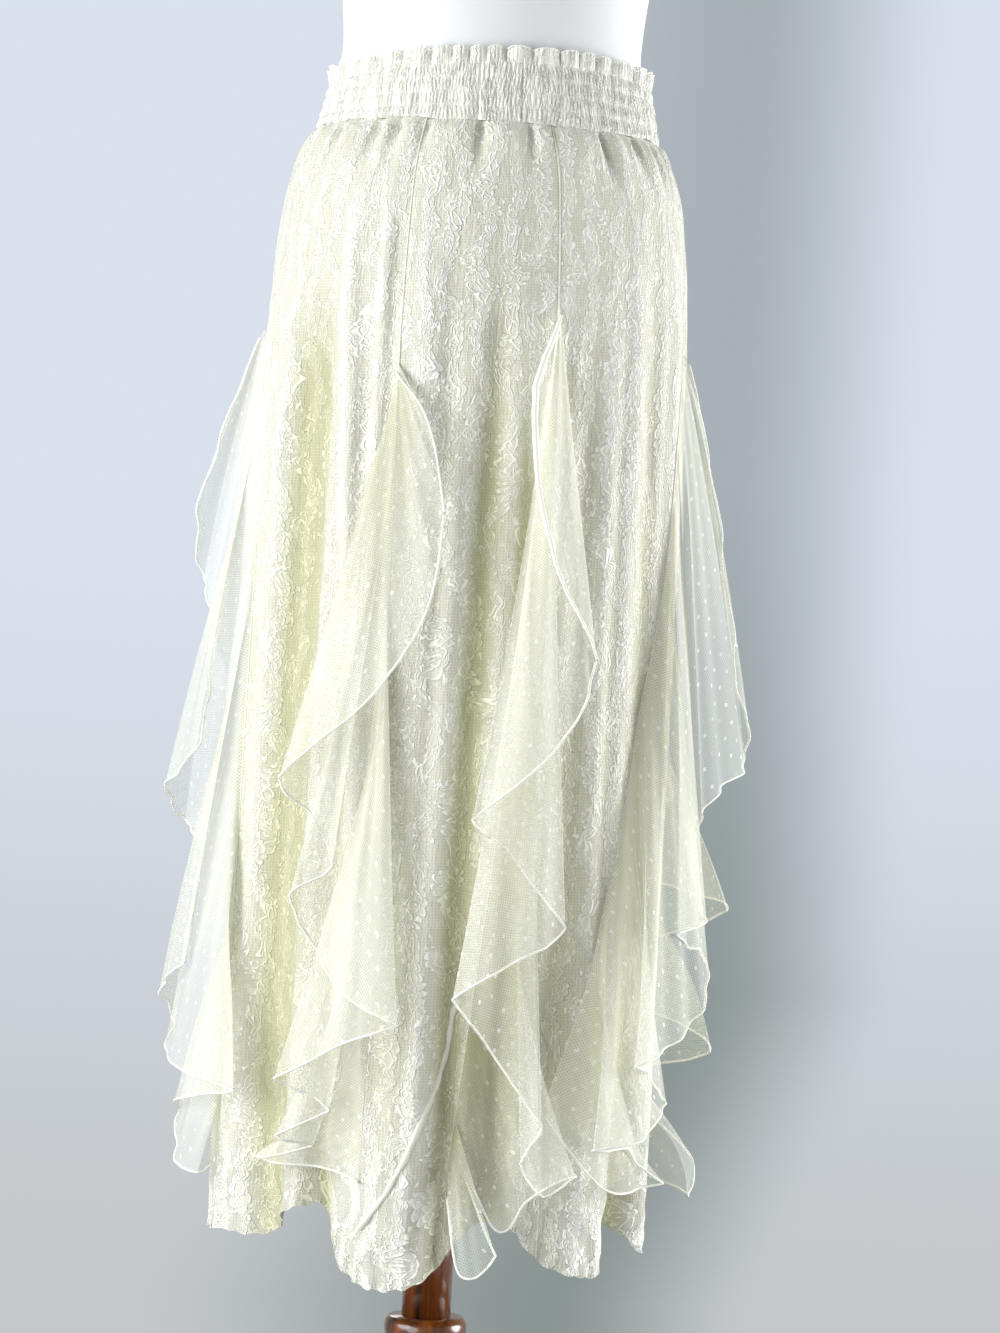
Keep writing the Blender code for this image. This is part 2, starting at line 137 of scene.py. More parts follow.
# Soft troughs (negative) and ridges that run down the lace: middle angle, half spread,
# depth, height where it starts, height where it is deepest, drift in degrees down to the hem.
CREASES = (
    (-83.0, 5.0, -0.0030, 0.84, 0.60, 4.0), (-74.0, 6.0, 0.0035, 0.97, 0.80, 2.0),
    (-63.0, 5.0, 0.0040, 0.92, 0.74, 1.0), (-51.5, 9.5, -0.0120, 0.90, 0.77, 0.0),
    (-44.0, 6.5, -0.0100, 0.90, 0.77, -1.0),
    (-39.0, 5.0, 0.0056, 0.99, 0.78, 24.0), (-29.5, 3.0, -0.0034, 0.82, 0.72, 0.0),
    (-26.0, 3.0, 0.0026, 0.99, 0.88, 4.0), (-22.5, 2.2, -0.0014, 0.98, 0.86, 2.0),
    (-14.0, 6.5, 0.0032, 0.97, 0.82, 10.0), (-5.0, 4.0, -0.0014, 0.96, 0.80, -3.0),
    (-2.0, 5.0, 0.0052, 0.82, 0.62, -1.5), (7.5, 6.0, -0.0082, 0.93, 0.72, -6.0),
    (22.0, 4.0, 0.0036, 0.92, 0.80, -2.0), (17.0, 4.5, -0.0078, 0.84, 0.68, 0.0),
    (33.0, 5.0, -0.0032, 0.92, 0.70, -3.0), (41.0, 4.0, 0.0022, 0.95, 0.72, -3.0),
    (49.0, 5.0, 0.0026, 0.97, 0.84, -2.0), (56.5, 6.0, -0.0034, 0.96, 0.76, 2.0),
    (70.0, 6.0, 0.0030, 0.97, 0.78, -3.0), (80.0, 5.0, -0.0036, 0.95, 0.72, 2.0),
    (98.0, 6.0, -0.0050, 0.90, 0.62, 2.0), (109.0, 5.0, 0.0040, 0.96, 0.78, 4.0),
    (123.0, 5.0, -0.0060, 0.92, 0.66, 3.0), (133.0, 5.0, 0.0038, 0.94, 0.70, 0.0),
    (146.0, 4.0, -0.0040, 0.96, 0.74, -4.0), (158.0, 5.0, -0.0052, 0.92, 0.60, -3.0),
    (168.0, 6.0, 0.0040, 0.97, 0.76, 6.0), (178.0, 6.0, -0.0078, 0.94, 0.62, 2.0),
    (188.0, 4.0, 0.0036, 0.92, 0.66, 1.0), (201.0, 7.0, -0.0060, 0.98, 0.72, 3.0),
    (214.0, 5.0, -0.0052, 0.90, 0.60, -2.0), (224.0, 5.0, 0.0044, 0.97, 0.74, 5.0),
    (236.0, 6.0, -0.0060, 0.92, 0.60, 3.0), (249.0, 4.0, 0.0034, 0.95, 0.76, 2.0),
    (261.0, 5.0, -0.0045, 0.94, 0.66, -2.0),
)

# Tucks and small puffs under the band: middle angle, half spread, depth (negative inward),
# length down to where a third is left.
TUCKS = (
    (-80.0, 2.6, -0.0050, 0.040), (-72.0, 3.2, -0.0075, 0.050), (-64.0, 4.0, 0.0040, 0.035),
    (-54.0, 2.0, -0.0080, 0.022), (-46.0, 4.5, 0.0030, 0.030), (-37.0, 2.8, -0.0080, 0.030),
    (-32.5, 1.8, 0.0040, 0.020), (-29.0, 2.0, -0.0085, 0.022), (-24.0, 2.4, 0.0030, 0.026),
    (-18.5, 1.8, -0.0050, 0.022), (-9.5, 5.0, 0.0024, 0.024), (-1.5, 1.8, -0.0070, 0.026),
    (6.0, 5.0, 0.0026, 0.022), (14.5, 1.8, -0.0062, 0.024), (22.0, 2.4, -0.0030, 0.020),
    (31.0, 5.0, 0.0022, 0.024), (40.0, 2.2, -0.0068, 0.034), (46.0, 2.8, 0.0030, 0.030),
    (55.0, 2.4, -0.0066, 0.026), (62.0, 3.0, 0.0034, 0.034),
    (68.0, 2.2, -0.0056, 0.036), (76.0, 2.6, 0.0040, 0.034), (83.0, 2.6, -0.0068, 0.050),
    (101.0, 3.0, -0.0066, 0.040), (117.0, 3.0, 0.0040, 0.036), (124.0, 2.2, -0.0066, 0.030),
    (133.0, 2.6, -0.0064, 0.040), (149.0, 3.0, -0.0054, 0.036), (163.0, 3.0, 0.0038, 0.034),
    (169.0, 2.0, -0.0074, 0.026), (178.0, 2.4, -0.0066, 0.040), (191.0, 2.8, 0.0040, 0.032),
    (204.0, 2.6, -0.0080, 0.034), (213.0, 2.2, 0.0036, 0.030), (222.0, 2.6, -0.0062, 0.036),
    (238.0, 3.0, 0.0040, 0.036), (251.0, 2.6, -0.0076, 0.040), (266.0, 3.0, 0.0036, 0.034),
)

# Crinkles of the lace: depth, height of one, number round the skirt, seed of their
# unevenness, and whether they are only near the hem.
CRINKLES = (
    (0.0006, 0.0220, 144, 3, False), (0.0009, 0.0400, 62, 5, False),
    (0.0052, 0.0170, 80, 7, True), (0.0018, 0.0085, 150, 9, True),
)

# Recesses between the lobes of the hem: the columns of the flutes, but inward.
RECESSES = (
    (-31.0, 7.0, 0.013, 0.34),
    (15.5, 10.0, 0.022, 0.44),
    (58.0, 6.0, 0.012, 0.36),
    (88.0, 9.0, 0.012, 0.34),
    (124.0, 8.0, 0.014, 0.36),
    (152.0, 8.0, 0.016, 0.40),
    (183.0, 8.0, 0.018, 0.42),
    (211.0, 8.0, 0.014, 0.36),
    (240.0, 8.0, 0.015, 0.38),
)

# Lobed hem of the lace: angle, height.
HEM = (
    (-90.0, 0.168), (-72.0, 0.161), (-57.0, 0.162), (-45.0, 0.172),
    (-36.0, 0.190), (-30.0, 0.193), (-24.0, 0.154), (-17.0, 0.140),
    (-6.0, 0.140), (2.0, 0.152), (8.0, 0.174), (16.0, 0.186),
    (23.0, 0.180), (30.0, 0.158), (40.0, 0.150), (51.0, 0.152),
    (58.0, 0.180), (68.0, 0.158), (77.0, 0.172), (88.0, 0.188),
    (110.0, 0.158), (125.0, 0.184), (139.0, 0.164), (152.0, 0.190),
    (168.0, 0.156), (183.0, 0.182), (197.0, 0.160), (211.0, 0.188),
    (226.0, 0.156), (240.0, 0.182), (254.0, 0.162), (270.0, 0.168),
)

# Seams: height and angle down each seam, top first.
SEAMS = {
    "left_front": ((0.840, -20.0), (0.220, -17.0)),
    "right_front": ((0.863, 22.0), (0.550, 15.0), (0.220, 4.0)),
    "right_side": ((0.840, 80.0), (0.770, 70.0), (0.660, 66.0), (0.540, 56.0),
                   (0.410, 43.0), (0.270, 29.0)),
    "right_back": ((0.835, 150.0), (0.220, 141.0)),
    "left_back": ((0.828, 210.0), (0.220, 205.0)),
    "left_side": ((0.840, -90.0), (0.680, -71.0), (0.220, -68.0)),
}

# Gores: name, first seam, last seam, columns across.
GORES = (
    ("gore_front", "left_front", "right_front", 60),
    ("gore_right_front", "right_front", "right_side", 72),
    ("gore_right_back", "right_side", "right_back", 150),
    ("gore_back", "right_back", "left_back", 84),
    ("gore_left_back", "left_back", "left_side", 104),
    ("gore_left_front", "left_side", "left_front", 80),
)

# Cascades: one row for each turn of the free hem: height on the seam, height of the hem,
# angle of the hem, outward from the lace.
CASCADES = {
    "left_front": (
        (0.815, 0.808, -20.0, 0.004),
        (0.814, 0.772, -10.0, 0.020),
        (0.812, 0.705, -4.5, 0.036),
        (0.809, 0.636, -6.5, 0.046),
        (0.806, 0.570, -16.5, 0.052),
        (0.800, 0.506, -37.0, 0.046),
        (0.770, 0.478, -31.5, 0.026),
        (0.735, 0.444, -25.5, 0.028),
        (0.715, 0.420, -33.5, 0.040),
        (0.690, 0.385, -30.0, 0.024),
        (0.660, 0.352, -22.0, 0.026),
        (0.630, 0.334, -8.0, 0.040),
        (0.590, 0.318, -18.5, 0.050),
        (0.550, 0.288, -33.5, 0.042),
        (0.500, 0.276, -28.0, 0.028),
        (0.450, 0.266, -23.5, 0.028),
        (0.410, 0.246, -34.0, 0.036),
        (0.350, 0.238, -29.0, 0.016),
        (0.300, 0.228, -38.0, 0.024),
        (0.265, 0.224, -48.0, 0.018),
        (0.240, 0.222, -28.0, 0.010),
        (0.225, 0.215, -17.0, 0.004),
    ),
    "right_front": (
        (0.863, 0.856, 22.0, 0.004),
        (0.862, 0.800, 14.5, 0.024),
        (0.861, 0.740, 15.0, 0.036),
        (0.859, 0.670, 19.5, 0.046),
        (0.857, 0.604, 29.5, 0.046),
        (0.852, 0.545, 22.0, 0.054),
        (0.846, 0.484, 4.5, 0.052),
        (0.820, 0.460, 13.5, 0.032),
        (0.790, 0.408, 26.0, 0.040),
        (0.765, 0.384, 14.5, 0.056),
        (0.740, 0.354, 2.5, 0.050),
        (0.700, 0.315, 12.0, 0.030),
        (0.650, 0.264, 23.5, 0.034),
        (0.560, 0.236, 19.5, 0.030),
        (0.500, 0.212, 25.0, 0.032),
        (0.430, 0.226, 33.0, 0.024),
        (0.340, 0.205, 24.0, 0.010),
        (0.300, 0.182, 18.0, 0.010),
        (0.268, 0.226, 7.0, 0.004),
        (0.262, 0.168, 15.5, 0.028),
        (0.250, 0.154, 7.5, 0.032),
        (0.236, 0.200, 4.5, 0.012),
        (0.222, 0.206, 4.5, 0.004),
    ),
    "right_side": (
        (0.840, 0.833, 80.0, 0.004),
        (0.838, 0.775, 88.0, 0.016),
        (0.835, 0.700, 84.0, 0.032),
        (0.832, 0.610, 86.0, 0.046),
        (0.828, 0.538, 92.0, 0.060),
        (0.820, 0.514, 78.0, 0.046),
        (0.800, 0.492, 69.0, 0.034),
        (0.770, 0.462, 76.0, 0.024),
        (0.740, 0.425, 84.0, 0.030),
        (0.715, 0.404, 57.0, 0.044),
        (0.690, 0.392, 66.0, 0.032),
        (0.670, 0.386, 78.0, 0.036),
        (0.645, 0.352, 66.0, 0.046),
        (0.615, 0.326, 56.0, 0.050),
        (0.585, 0.309, 42.0, 0.046),
        (0.545, 0.297, 54.0, 0.030),
        (0.510, 0.276, 61.0, 0.032),
        (0.460, 0.257, 48.0, 0.042),
        (0.420, 0.247, 34.0, 0.036),
        (0.375, 0.243, 50.0, 0.020),
        (0.340, 0.215, 64.0, 0.022),
        (0.305, 0.215, 42.0, 0.014),
        (0.275, 0.266, 29.0, 0.004),
    ),
    "right_back": (
        (0.835, 0.828, 150.0, 0.004),
        (0.833, 0.760, 158.0, 0.022),
        (0.830, 0.690, 163.0, 0.036),
        (0.827, 0.610, 158.0, 0.048),
        (0.823, 0.550, 143.0, 0.054),
        (0.815, 0.500, 124.0, 0.050),
        (0.780, 0.476, 134.0, 0.028),
        (0.745, 0.440, 140.0, 0.032),
        (0.715, 0.425, 122.0, 0.052),
        (0.690, 0.412, 107.0, 0.060),
        (0.640, 0.380, 128.0, 0.030),
        (0.600, 0.350, 152.0, 0.036),
        (0.560, 0.325, 128.0, 0.048),
        (0.520, 0.303, 101.0, 0.044),
        (0.460, 0.285, 122.0, 0.026),
        (0.420, 0.272, 138.0, 0.030),
        (0.370, 0.232, 118.0, 0.038),
        (0.320, 0.190, 102.0, 0.034),
        (0.270, 0.205, 128.0, 0.016),
        (0.232, 0.222, 141.0, 0.004),
    ),
    "left_back": (
        (0.828, 0.821, 210.0, 0.004),
        (0.826, 0.750, 201.0, 0.024),
        (0.823, 0.680, 196.0, 0.038),
        (0.819, 0.600, 201.0, 0.048),
        (0.814, 0.540, 215.0, 0.054),
        (0.805, 0.492, 230.0, 0.050),
        (0.770, 0.468, 220.0, 0.030),
        (0.730, 0.430, 208.0, 0.030),
        (0.700, 0.405, 222.0, 0.048),
        (0.670, 0.385, 232.0, 0.044),
        (0.610, 0.352, 212.0, 0.028),
        (0.560, 0.325, 196.0, 0.036),
        (0.510, 0.305, 212.0, 0.046),
        (0.460, 0.282, 226.0, 0.040),
        (0.390, 0.262, 208.0, 0.026),
        (0.340, 0.248, 198.0, 0.028),
        (0.290, 0.228, 214.0, 0.024),
        (0.240, 0.230, 205.0, 0.004),
    ),
    "left_side": (
        (0.845, 0.838, -90.0, 0.004),
        (0.843, 0.770, -88.0, 0.026),
        (0.840, 0.700, -92.0, 0.044),
        (0.836, 0.655, -101.0, 0.044),
        (0.820, 0.625, -92.0, 0.030),
        (0.795, 0.565, -76.0, 0.027),
        (0.775, 0.520, -72.0, 0.036),
        (0.750, 0.490, -86.0, 0.054),
        (0.730, 0.464, -101.0, 0.048),
        (0.705, 0.444, -95.0, 0.030),
        (0.670, 0.400, -80.0, 0.028),
        (0.640, 0.360, -72.0, 0.034),
        (0.600, 0.335, -86.0, 0.050),
        (0.560, 0.312, -96.0, 0.044),
        (0.510, 0.290, -78.0, 0.040),
        (0.460, 0.272, -50.0, 0.034),
        (0.410, 0.262, -66.0, 0.026),
        (0.360, 0.240, -90.0, 0.034),
        (0.310, 0.212, -80.0, 0.028),
        (0.260, 0.204, -66.0, 0.018),
        (0.218, 0.209, -68.0, 0.004),
    ),
}

# The form: height, half width, half depth, middle moved toward the back.
FORM = (
    (0.775, 0.1440, 0.1080, 0.000), (0.785, 0.1500, 0.1130, 0.000),
    (0.820, 0.1555, 0.1190, 0.000), (0.870, 0.1570, 0.1215, 0.000),
    (0.920, 0.1510, 0.1160, 0.000), (0.960, 0.1400, 0.1070, 0.000),
    (0.988, 0.1255, 0.0972, 0.000), (1.000, 0.1212, 0.0946, 0.000),
    (1.020, 0.1185, 0.0922, 0.000), (1.045, 0.1162, 0.0902, 0.000),
    (1.075, 0.1148, 0.0890, 0.000), (1.130, 0.1210, 0.0940, 0.002),
    (1.200, 0.1345, 0.1050, 0.000), (1.270, 0.1450, 0.1140, -0.004),
    (1.340, 0.1510, 0.1120, -0.002), (1.400, 0.1560, 0.1010, 0.004),
    (1.440, 0.1520, 0.0860, 0.010), (1.465, 0.1310, 0.0740, 0.013),
    (1.482, 0.0980, 0.0660, 0.013), (1.500, 0.0670, 0.0590, 0.011),
    (1.525, 0.0540, 0.0540, 0.008), (1.560, 0.0520, 0.0520, 0.006),
    (1.568, 0.0480, 0.0480, 0.006),
)

# Turned profiles: height, radius.
COLLAR_PROFILE = (
    (BASE_TOP + SEAM, 0.0400), (0.0340, 0.0425), (0.0420, 0.0430), (0.0470, 0.0400),
    (0.0500, 0.0330), (0.0580, 0.0275), (0.0680, 0.0262), (0.0740, 0.0280),
    (0.0770, 0.0305), (0.0830, 0.0318), (0.0890, 0.0312), (COLLAR_TOP, 0.0285),
)
POLE_PROFILE = (
    (COLLAR_TOP + SEAM, POLE_RADIUS), (0.3, POLE_RADIUS), (0.55, POLE_RADIUS),
    (FORM_FOOT - SEAM, POLE_RADIUS),
)
BASE_PROFILE = (
    (0.0000, BASE_RADIUS - 0.004), (0.0030, BASE_RADIUS), (0.0160, BASE_RADIUS),
    (0.0215, BASE_RADIUS - 0.003), (0.0255, BASE_RADIUS - 0.010),
    (BASE_TOP, BASE_RADIUS - 0.018),
)


# ---------------------------------------------------------------- shapes
def smooth(t):
    """0 below 0, 1 above 1 and an even S between them: 3t^2 - 2t^3."""
    t = np.clip(t, 0.0, 1.0)
    return t * t * (3 - 2 * t)


def read_off(rows, column, at, corners=False):
    """Cubic curve through one column of a table against its first column. With corners, a
    row where the column turns back keeps each side's own slope, so the curve folds there."""
    rows = np.asarray(rows, float)
    rows = rows[np.argsort(rows[:, 0])]
    x, y = rows[:, 0], rows[:, column]
    arrive = np.gradient(y, x)
    leave = arrive.copy()
    if corners:
        step = np.diff(y) / np.diff(x)
        turns = 1 + np.flatnonzero(step[:-1] * step[1:] < 0)
        arrive[turns], leave[turns] = 0.75 * step[turns - 1], 0.75 * step[turns]
    at = np.clip(np.asarray(at, float), x[0], x[-1])
    i = np.clip(np.searchsorted(x, at) - 1, 0, len(x) - 2)
    h = x[i + 1] - x[i]
    t = (at - x[i]) / h
    return (
        (2 * t**3 - 3 * t**2 + 1) * y[i] + (t**3 - 2 * t**2 + t) * h * leave[i]
        + (3 * t**2 - 2 * t**3) * y[i + 1] + (t**3 - t**2) * h * arrive[i + 1]
    )


def ridge(angle, middle, half):
    """A squared-cosine bump round the skirt, 1 at its middle and 0 at its half spread."""
    away = (angle - middle + 180.0) % 360.0 - 180.0
    return np.where(abs(away) < half, np.cos(math.pi / 2 * away / half) ** 2, 0.0)


def lobes(rows, angle, z):
    """Ridges that grow downward: depth x ridge x (fall below the start)^1.3."""
    total = np.zeros(np.broadcast(angle, z).shape)
    for middle, half, depth, start in rows:
        growth = np.clip((start - z) / (start - LOWEST_HEM), 0.0, 1.2) ** 1.3
        total = total + depth * ridge(angle, middle, half) * growth
    return total


def creases(angle, z):
    """Soft troughs and ridges: each fades in from its start to its deepest height, keeps
    three quarters of that to the hem, and drifts sideways as it falls."""
    total = np.zeros(np.broadcast(angle, z).shape)
    for middle, half, depth, start, deepest, drift in CREASES:
        rise = smooth((start - z) / (start - deepest))
        keep = 1 - 0.25 * np.clip((deepest - z) / (deepest - LOWEST_HEM), 0.0, 1.0)
        fall = np.clip((start - z) / (start - LOWEST_HEM), 0.0, 1.0)
        total = total + depth * rise * keep * ridge(angle, middle + drift * fall, half)
    return total


def tucks(angle, z):
    """Folds under the band that die out downward: depth x ridge x exp(-(fall/length)^2).
    Over its length each opens to nearly twice its width. The band holds them to a quarter
    of their depth, which they gain over the first 6 mm."""
    fall = np.clip(BAND_FOOT - z, 0.0, None)
    total = np.zeros(np.broadcast(angle, z).shape)
    for middle, half, depth, length in TUCKS:
        spread = half * (1 + 0.8 * fall / length)
        total = total + depth * np.exp(-((fall / length) ** 2)) * ridge(angle, middle, spread)
    return total * np.clip(fall / 0.006, 0.25, 1.0)


def crinkle(angle, climb, cells, seed):
    """Uneven puckers from 0 to 1: a random height at each knot of a net that has so many
    cells round the skirt and one cell for each unit of climb, joined by smooth steps."""
    angle, climb = np.broadcast_arrays(angle, climb)
    knots = np.random.default_rng(seed).uniform(0.0, 1.0, (cells, 128))
    across = (angle / 360.0 * cells) % cells
    i, j = np.floor(across).astype(int) % cells, np.floor(climb).astype(int) % 127
    k = (i + 1) % cells
    s, t = smooth(across % 1.0), smooth(climb % 1.0)
    return (
        (1 - s) * ((1 - t) * knots[i, j] + t * knots[i, j + 1])
        + s * ((1 - t) * knots[k, j] + t * knots[k, j + 1])
    )


def foot_line(angle):
    """The seam under the band wanders up and down by 1.5 mm where the cloth puffs out."""
    return BAND_FOOT + 0.003 * (crinkle(angle, 0.5, 48, 31) - 0.5)


def stood_off(angle, wide, deep, z, out):
    """Points on a level ellipse of some half width and half depth, moved out along its
    normal: (wide sin a, -deep cos a, z) + out x (sin a / wide, -cos a / deep, 0) / length."""
    s, c = np.sin(np.radians(angle)), np.cos(np.radians(angle))
    nx, ny = s / wide, -c / deep
    size = np.hypot(nx, ny)
    return np.stack([wide * s + nx / size * out, -deep * c + ny / size * out, z], -1)


def on_lace(angle, z, out=0.0):
    """Points outside the lace: the body's ellipse at that height, moved out by the flutes
    and by out, and in by recesses, creases and tucks, which cloth that hangs further out
    follows less: exp(-out / cling)."""
    angle, z, out = np.broadcast_arrays(angle, z, out)
    folds = creases(angle, z) + tucks(angle, z) - lobes(RECESSES, angle, z)
    push = lobes(FLUTES, angle, z) + np.exp(-np.maximum(out, 0.0) / CLING) * folds + out
    return stood_off(angle, read_off(BODY, 1, z), read_off(BODY, 2, z), z, push)


def hem_height(angle):
    """Height of the lobed lace hem at an angle."""
    return read_off(HEM, 1, (np.asarray(angle) + 90.0) % 360.0 - 90.0)


def seam_angle(seam, z):
    """Angle of a seam at a height; straight between its rows."""
    path = np.array(SEAMS[seam])[::-1]
    return np.interp(z, path[:, 0], path[:, 1])


def grid_faces(n, m, ring=False):
    """Quads of an n by m grid of points; ring joins its last row to the first."""
    i = np.arange(n if ring else n - 1)[:, None]
    j = np.arange(m - 1)[None, :]
    k = (i + 1) % n
    return np.stack([i * m + j, k * m + j, k * m + j + 1, i * m + j + 1], -1).reshape(-1, 4)


def mesh_piece(name, points, faces, material, uv=None, masks=None):
    """An object from arrays: points, faces, a UV for each point and named point masks."""
    mesh = bpy.data.meshes.new(name)
    mesh.from_pydata(points.reshape(-1, 3), [], faces)
    mesh.polygons.foreach_set("use_smooth", np.ones(len(mesh.polygons), bool))
    if uv is not None:
        loops = np.empty(len(mesh.loops), np.int32)
        mesh.loops.foreach_get("vertex_index", loops)
        layer = mesh.uv_layers.new(name="cloth")
        layer.data.foreach_set("uv", uv.reshape(-1, 2)[loops].astype(np.float32).ravel())
    for key, values in (masks or {}).items():
        layer = mesh.attributes.new(key, "FLOAT", "POINT")
        layer.data.foreach_set("value", values.astype(np.float32).ravel())
    mesh.materials.append(material)
    mesh.update()
    piece = bpy.data.objects.new(name, mesh)
    bpy.context.scene.collection.objects.link(piece)
    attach(piece, "root")
    return piece


def tube(name, path, radius, material, sides=8, ring=False):
    """A round edge carried along a path of points, closed at its ends by flat caps, or with
    ring joined end to end."""
    along = np.gradient(path, axis=0)
    along /= np.linalg.norm(along, axis=1, keepdims=True)
    side = np.cross(along, [0.0, 0.0, 1.0])
    side /= np.maximum(np.linalg.norm(side, axis=1, keepdims=True), 1e-9)
    up = np.cross(side, along)
    turn = (math.tau * np.arange(sides) / sides)[None, :, None]
    radius = np.broadcast_to(radius, len(path))[:, None, None]
    skin = path[:, None] + radius * (np.cos(turn) * side[:, None] + np.sin(turn) * up[:, None])
    n = len(path)
    i = np.arange(n if ring else n - 1)[:, None]
    j = np.arange(sides)[None, :]
    k, m = (i + 1) % n, (j + 1) % sides
    quads = np.stack([i * sides + j, k * sides + j, k * sides + m, i * sides + m], -1)
    faces = quads.reshape(-1, 4).tolist()
    if not ring:
        faces.append(list(range(sides)))
        faces.append(list(range((n - 1) * sides, n * sides))[::-1])
    return mesh_piece(name, skin, faces, material)


def lathe_piece(name, rows, material, columns=96, steps=8):
    """A closed turned or elliptic body through rows of height, half width, half depth and
    middle, or of height and radius: (wide cos t, middle + deep sin t, height)."""
    rows = np.asarray(rows, float)
    if rows.shape[1] == 2:
        rows = np.column_stack([rows, rows[:, 1], np.zeros(len(rows))])
    order = np.column_stack([np.arange(len(rows)), rows])
    at = np.linspace(0, len(rows) - 1, steps * (len(rows) - 1) + 1)
    z, wide, deep, middle = (read_off(order, k, at) for k in (1, 2, 3, 4))
    turn = (math.tau * np.arange(columns) / columns)[:, None]
    skin = np.stack([wide * np.cos(turn), middle + deep * np.sin(turn), z + 0 * turn], -1)
    ends = np.array([[0, middle[0], z[0]], [0, middle[-1], z[-1]]])
    n = len(at)
    foot, head = columns * n, columns * n + 1
    i = np.arange(columns)
    k = (i + 1) % columns
    faces = grid_faces(columns, n, ring=True).tolist()
    faces += np.stack([k * n, i * n, np.full(columns, foot)], -1).tolist()
    faces += np.stack([i * n + n - 1, k * n + n - 1, np.full(columns, head)], -1).tolist()
    return mesh_piece(name, np.concatenate([skin.reshape(-1, 3), ends]), faces, material)


# ---------------------------------------------------------------- materials
def linear(code):
    """An sRGB hex colour as linear red, green, blue, alpha."""
    value = np.array([int(code[i:i + 2], 16) / 255 for i in (0, 2, 4)])
    value = np.where(value <= 0.04045, value / 12.92, ((value + 0.055) / 1.055) ** 2.4)
    return (*value, 1.0)


def feed(made, inputs):
    """Gives a node's inputs, by index or name, their values: a number, a hex colour, or the
    output of another node, which is linked."""
    for key, value in inputs.items():
        if isinstance(value, bpy.types.Node):
            value = value.outputs[0]
        if isinstance(value, bpy.types.NodeSocket):
            made.id_data.links.new(value, made.inputs[key])
        else:
            made.inputs[key].default_value = linear(value) if isinstance(value, str) else value


def node(owner, kind, inputs=None, **settings):
    """Adds one node to a material or world, with its own settings and its inputs."""
    made = owner.node_tree.nodes.new("ShaderNode" + kind)
    for key, value in settings.items():
        setattr(made, key, value)
    feed(made, inputs or {})
    return made


def new_material(name, sockets):
    """A Principled material, its shader, and the call that adds nodes to it. The sockets
    given here are the same all over the surface."""
    material = bpy.data.materials.new(name)
    material.use_nodes = True
    shader = material.node_tree.nodes["Principled BSDF"]
    feed(shader, sockets)
    return material, shader, partial(node, material)


def flat_cloth(add):
    """Places on the flat cloth in millimetres, from the piece's own UV map."""
    return add("Mapping", {0: add("UVMap", uv_map="cloth"), "Scale": (1000.0, 1000.0, 1.0)})


def wave(add, at, length, operation="SINE"):
    """A sine of a place, or its cosine, that repeats after each length."""
    turned = add("Math", {0: at, 1: math.tau / length}, operation="MULTIPLY")
    return add("Math", {0: turned}, operation=operation)


def near_zero(add, distance, full, none):
    """1 where a distance, either way, is under full, falling smoothly to 0 at none."""
    size = add("Math", {0: distance}, operation="ABSOLUTE")
    return add("MapRange", {0: size, 1: full, 2: none, 3: 1.0, 4: 0.0},
               interpolation_type="SMOOTHSTEP")


def moved(add, at, scale, detail, reach):
    """A place pushed aside and up by an uneven field, by anything from nothing to the reach."""
    field = add("TexNoise", {"Vector": at, "Scale": scale, "Detail": detail},
                noise_dimensions="2D")
    return add("VectorMath", {0: field.outputs["Color"], 1: (reach, reach, 0.0), 2: at},
               operation="MULTIPLY_ADD")


